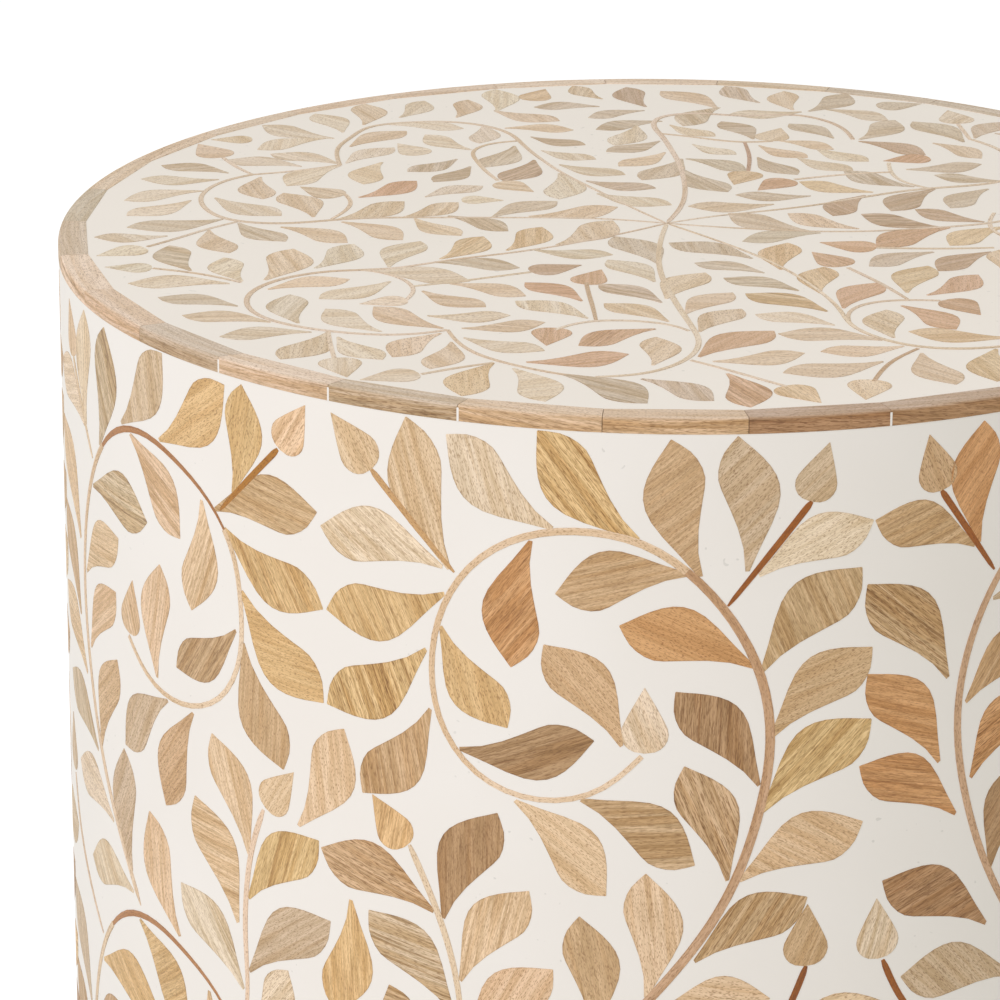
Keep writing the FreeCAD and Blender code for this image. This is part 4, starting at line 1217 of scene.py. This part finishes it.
def felt():
    """Pressed felt: fine fuzzy noise in colour and bump, with no gloss."""
    material, add, feed = new_material("felt")
    fuzz = own_noise(add, (1500, 1500, 1500), 5.0)
    feed({"Base Color": mixed(add, between(add, fuzz, 0.3, 0.7), FELT_DARK, FELT_LIGHT), "Roughness": 0.95,
          "Normal": bumped(add, fuzz, 0.6, 0.4 * MM)})
    return material


board_finish, pad_finish = raw_wood(), felt()
kept = [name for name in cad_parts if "board" in name or "wall" in name or "batten" in name]
for name in kept + ["floor_pads"]:
    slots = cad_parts[name].data.materials
    slots.clear()
    slots.append(pad_finish if name == "floor_pads" else board_finish)
print("kept from the CAD model:", len(kept) + 1)

# %% [markdown]
# ## Studio
# The photo is a catalogue cut-out: white behind, soft light from all round, a little more of it from the
# front left. A faintly warm world gives the soft light, one large and faintly cool lamp gives the lean to
# the left, and the floor is pale and keeps the table's shadow.

# %% Floor
FLOOR_HALF = 6.0
FLOOR_LIFT = 0.55
FLOOR_DARK, FLOOR_LIGHT = (0.73, 0.73, 0.73, 1), (0.76, 0.76, 0.76, 1)
WHITE = (1, 1, 1, 1)


def studio_floor():
    """Pale matte floor with a faint unevenness. Seen by the camera or in a reflection, it is lifted to white
    by the same small amount everywhere, so the shadow stays."""
    material, add, feed = new_material("floor")
    clouds = own_noise(add, (3, 3, 3), 2.0)
    path = add("ShaderNodeLightPath").outputs
    seen = larger(add, path["Is Camera Ray"], path["Is Glossy Ray"])
    seen = larger(add, seen, path["Is Transmission Ray"])
    feed({"Base Color": mixed(add, clouds, FLOOR_DARK, FLOOR_LIGHT), "Roughness": 0.9,
          "Emission Color": WHITE, "Emission Strength": times(add, seen, FLOOR_LIFT)})
    return material


floor_corners = np.array([[-1, -1, 0], [1, -1, 0], [1, 1, 0], [-1, 1, 0]]) * FLOOR_HALF
floor_mesh = bpy.data.meshes.new("studio_floor")
floor_mesh.from_pydata(floor_corners.tolist(), [], [[0, 1, 2, 3]])
floor_mesh.materials.append(studio_floor())
floor = bpy.data.objects.new("studio_floor", floor_mesh)
bpy.context.scene.collection.objects.link(floor)

print("floor:", 2 * FLOOR_HALF, "m square")

# %% Light
AROUND = 0.56
WARM = (0.985, 0.98, 0.91, 1)
LAMP_SIZE = (2.4, 1.8)
LAMP_POWER = 64.4
LAMP_COLOUR = (0.87, 0.87, 1.0)
LAMP_PLACE, LAMP_TARGET = Vector((-1.45, -2.1, 2.4)), Vector((0, 0, 0.3))

world = bpy.data.worlds.new("studio")
world.use_nodes = True
bpy.context.scene.world = world
add, fill = node_tools(world.node_tree)
path = add("ShaderNodeLightPath").outputs
seen = larger(add, path["Is Camera Ray"], path["Is Glossy Ray"])
fill(world.node_tree.nodes["Background"], {"Strength": between(add, seen, 0.0, 1.0, AROUND, 1.0),
                                           "Color": mixed(add, seen, WARM, WHITE)})

lamp_data = bpy.data.lights.new("window", "AREA")
lamp_data.shape = "RECTANGLE"
lamp_data.size, lamp_data.size_y = LAMP_SIZE
lamp_data.energy = LAMP_POWER
lamp_data.color = LAMP_COLOUR
lamp = bpy.data.objects.new("window", lamp_data)
bpy.context.scene.collection.objects.link(lamp)
lamp.location = LAMP_PLACE
lamp.rotation_euler = (LAMP_TARGET - LAMP_PLACE).to_track_quat("-Z", "Y").to_euler()
bpy.context.scene.view_settings.view_transform = "Standard"
print("studio lit")

# %% [markdown]
# ## Camera
# The camera was worked out from the photo: from the ellipse of the rim, its strip joints and the sides of
# the drum. It stands well back with a long lens, looks down on the top, and leans by a fraction of a
# degree. The three angles turn the camera from looking straight along +Y.

# %% Camera
CAMERA_PLACE = (0.0, -7.92205 * RADIUS, TOP + 2.27099 * RADIUS)
TURN_ASIDE, LOOK_DOWN, LEAN = math.radians(-1.981), math.radians(19.120), math.radians(0.288)
LENS, SENSOR = 179.91, 36

ahead = Vector((math.sin(TURN_ASIDE), math.cos(TURN_ASIDE), 0))
level_right = Vector((math.cos(TURN_ASIDE), -math.sin(TURN_ASIDE), 0))
upright = Vector((0, 0, 1))
sight = ahead * math.cos(LOOK_DOWN) - upright * math.sin(LOOK_DOWN)
head = upright * math.cos(LOOK_DOWN) + ahead * math.sin(LOOK_DOWN)
right = level_right * math.cos(LEAN) + head * math.sin(LEAN)
head = head * math.cos(LEAN) - level_right * math.sin(LEAN)

camera_data = bpy.data.cameras.new("camera")
camera_data.sensor_width = SENSOR
camera_data.lens = LENS
camera = bpy.data.objects.new("camera", camera_data)
camera.matrix_world = Matrix.Translation(CAMERA_PLACE) @ Matrix((right, head, -sight)).transposed().to_4x4()
bpy.context.scene.collection.objects.link(camera)
bpy.context.scene.camera = camera
print("camera at", [round(value, 3) for value in CAMERA_PLACE])
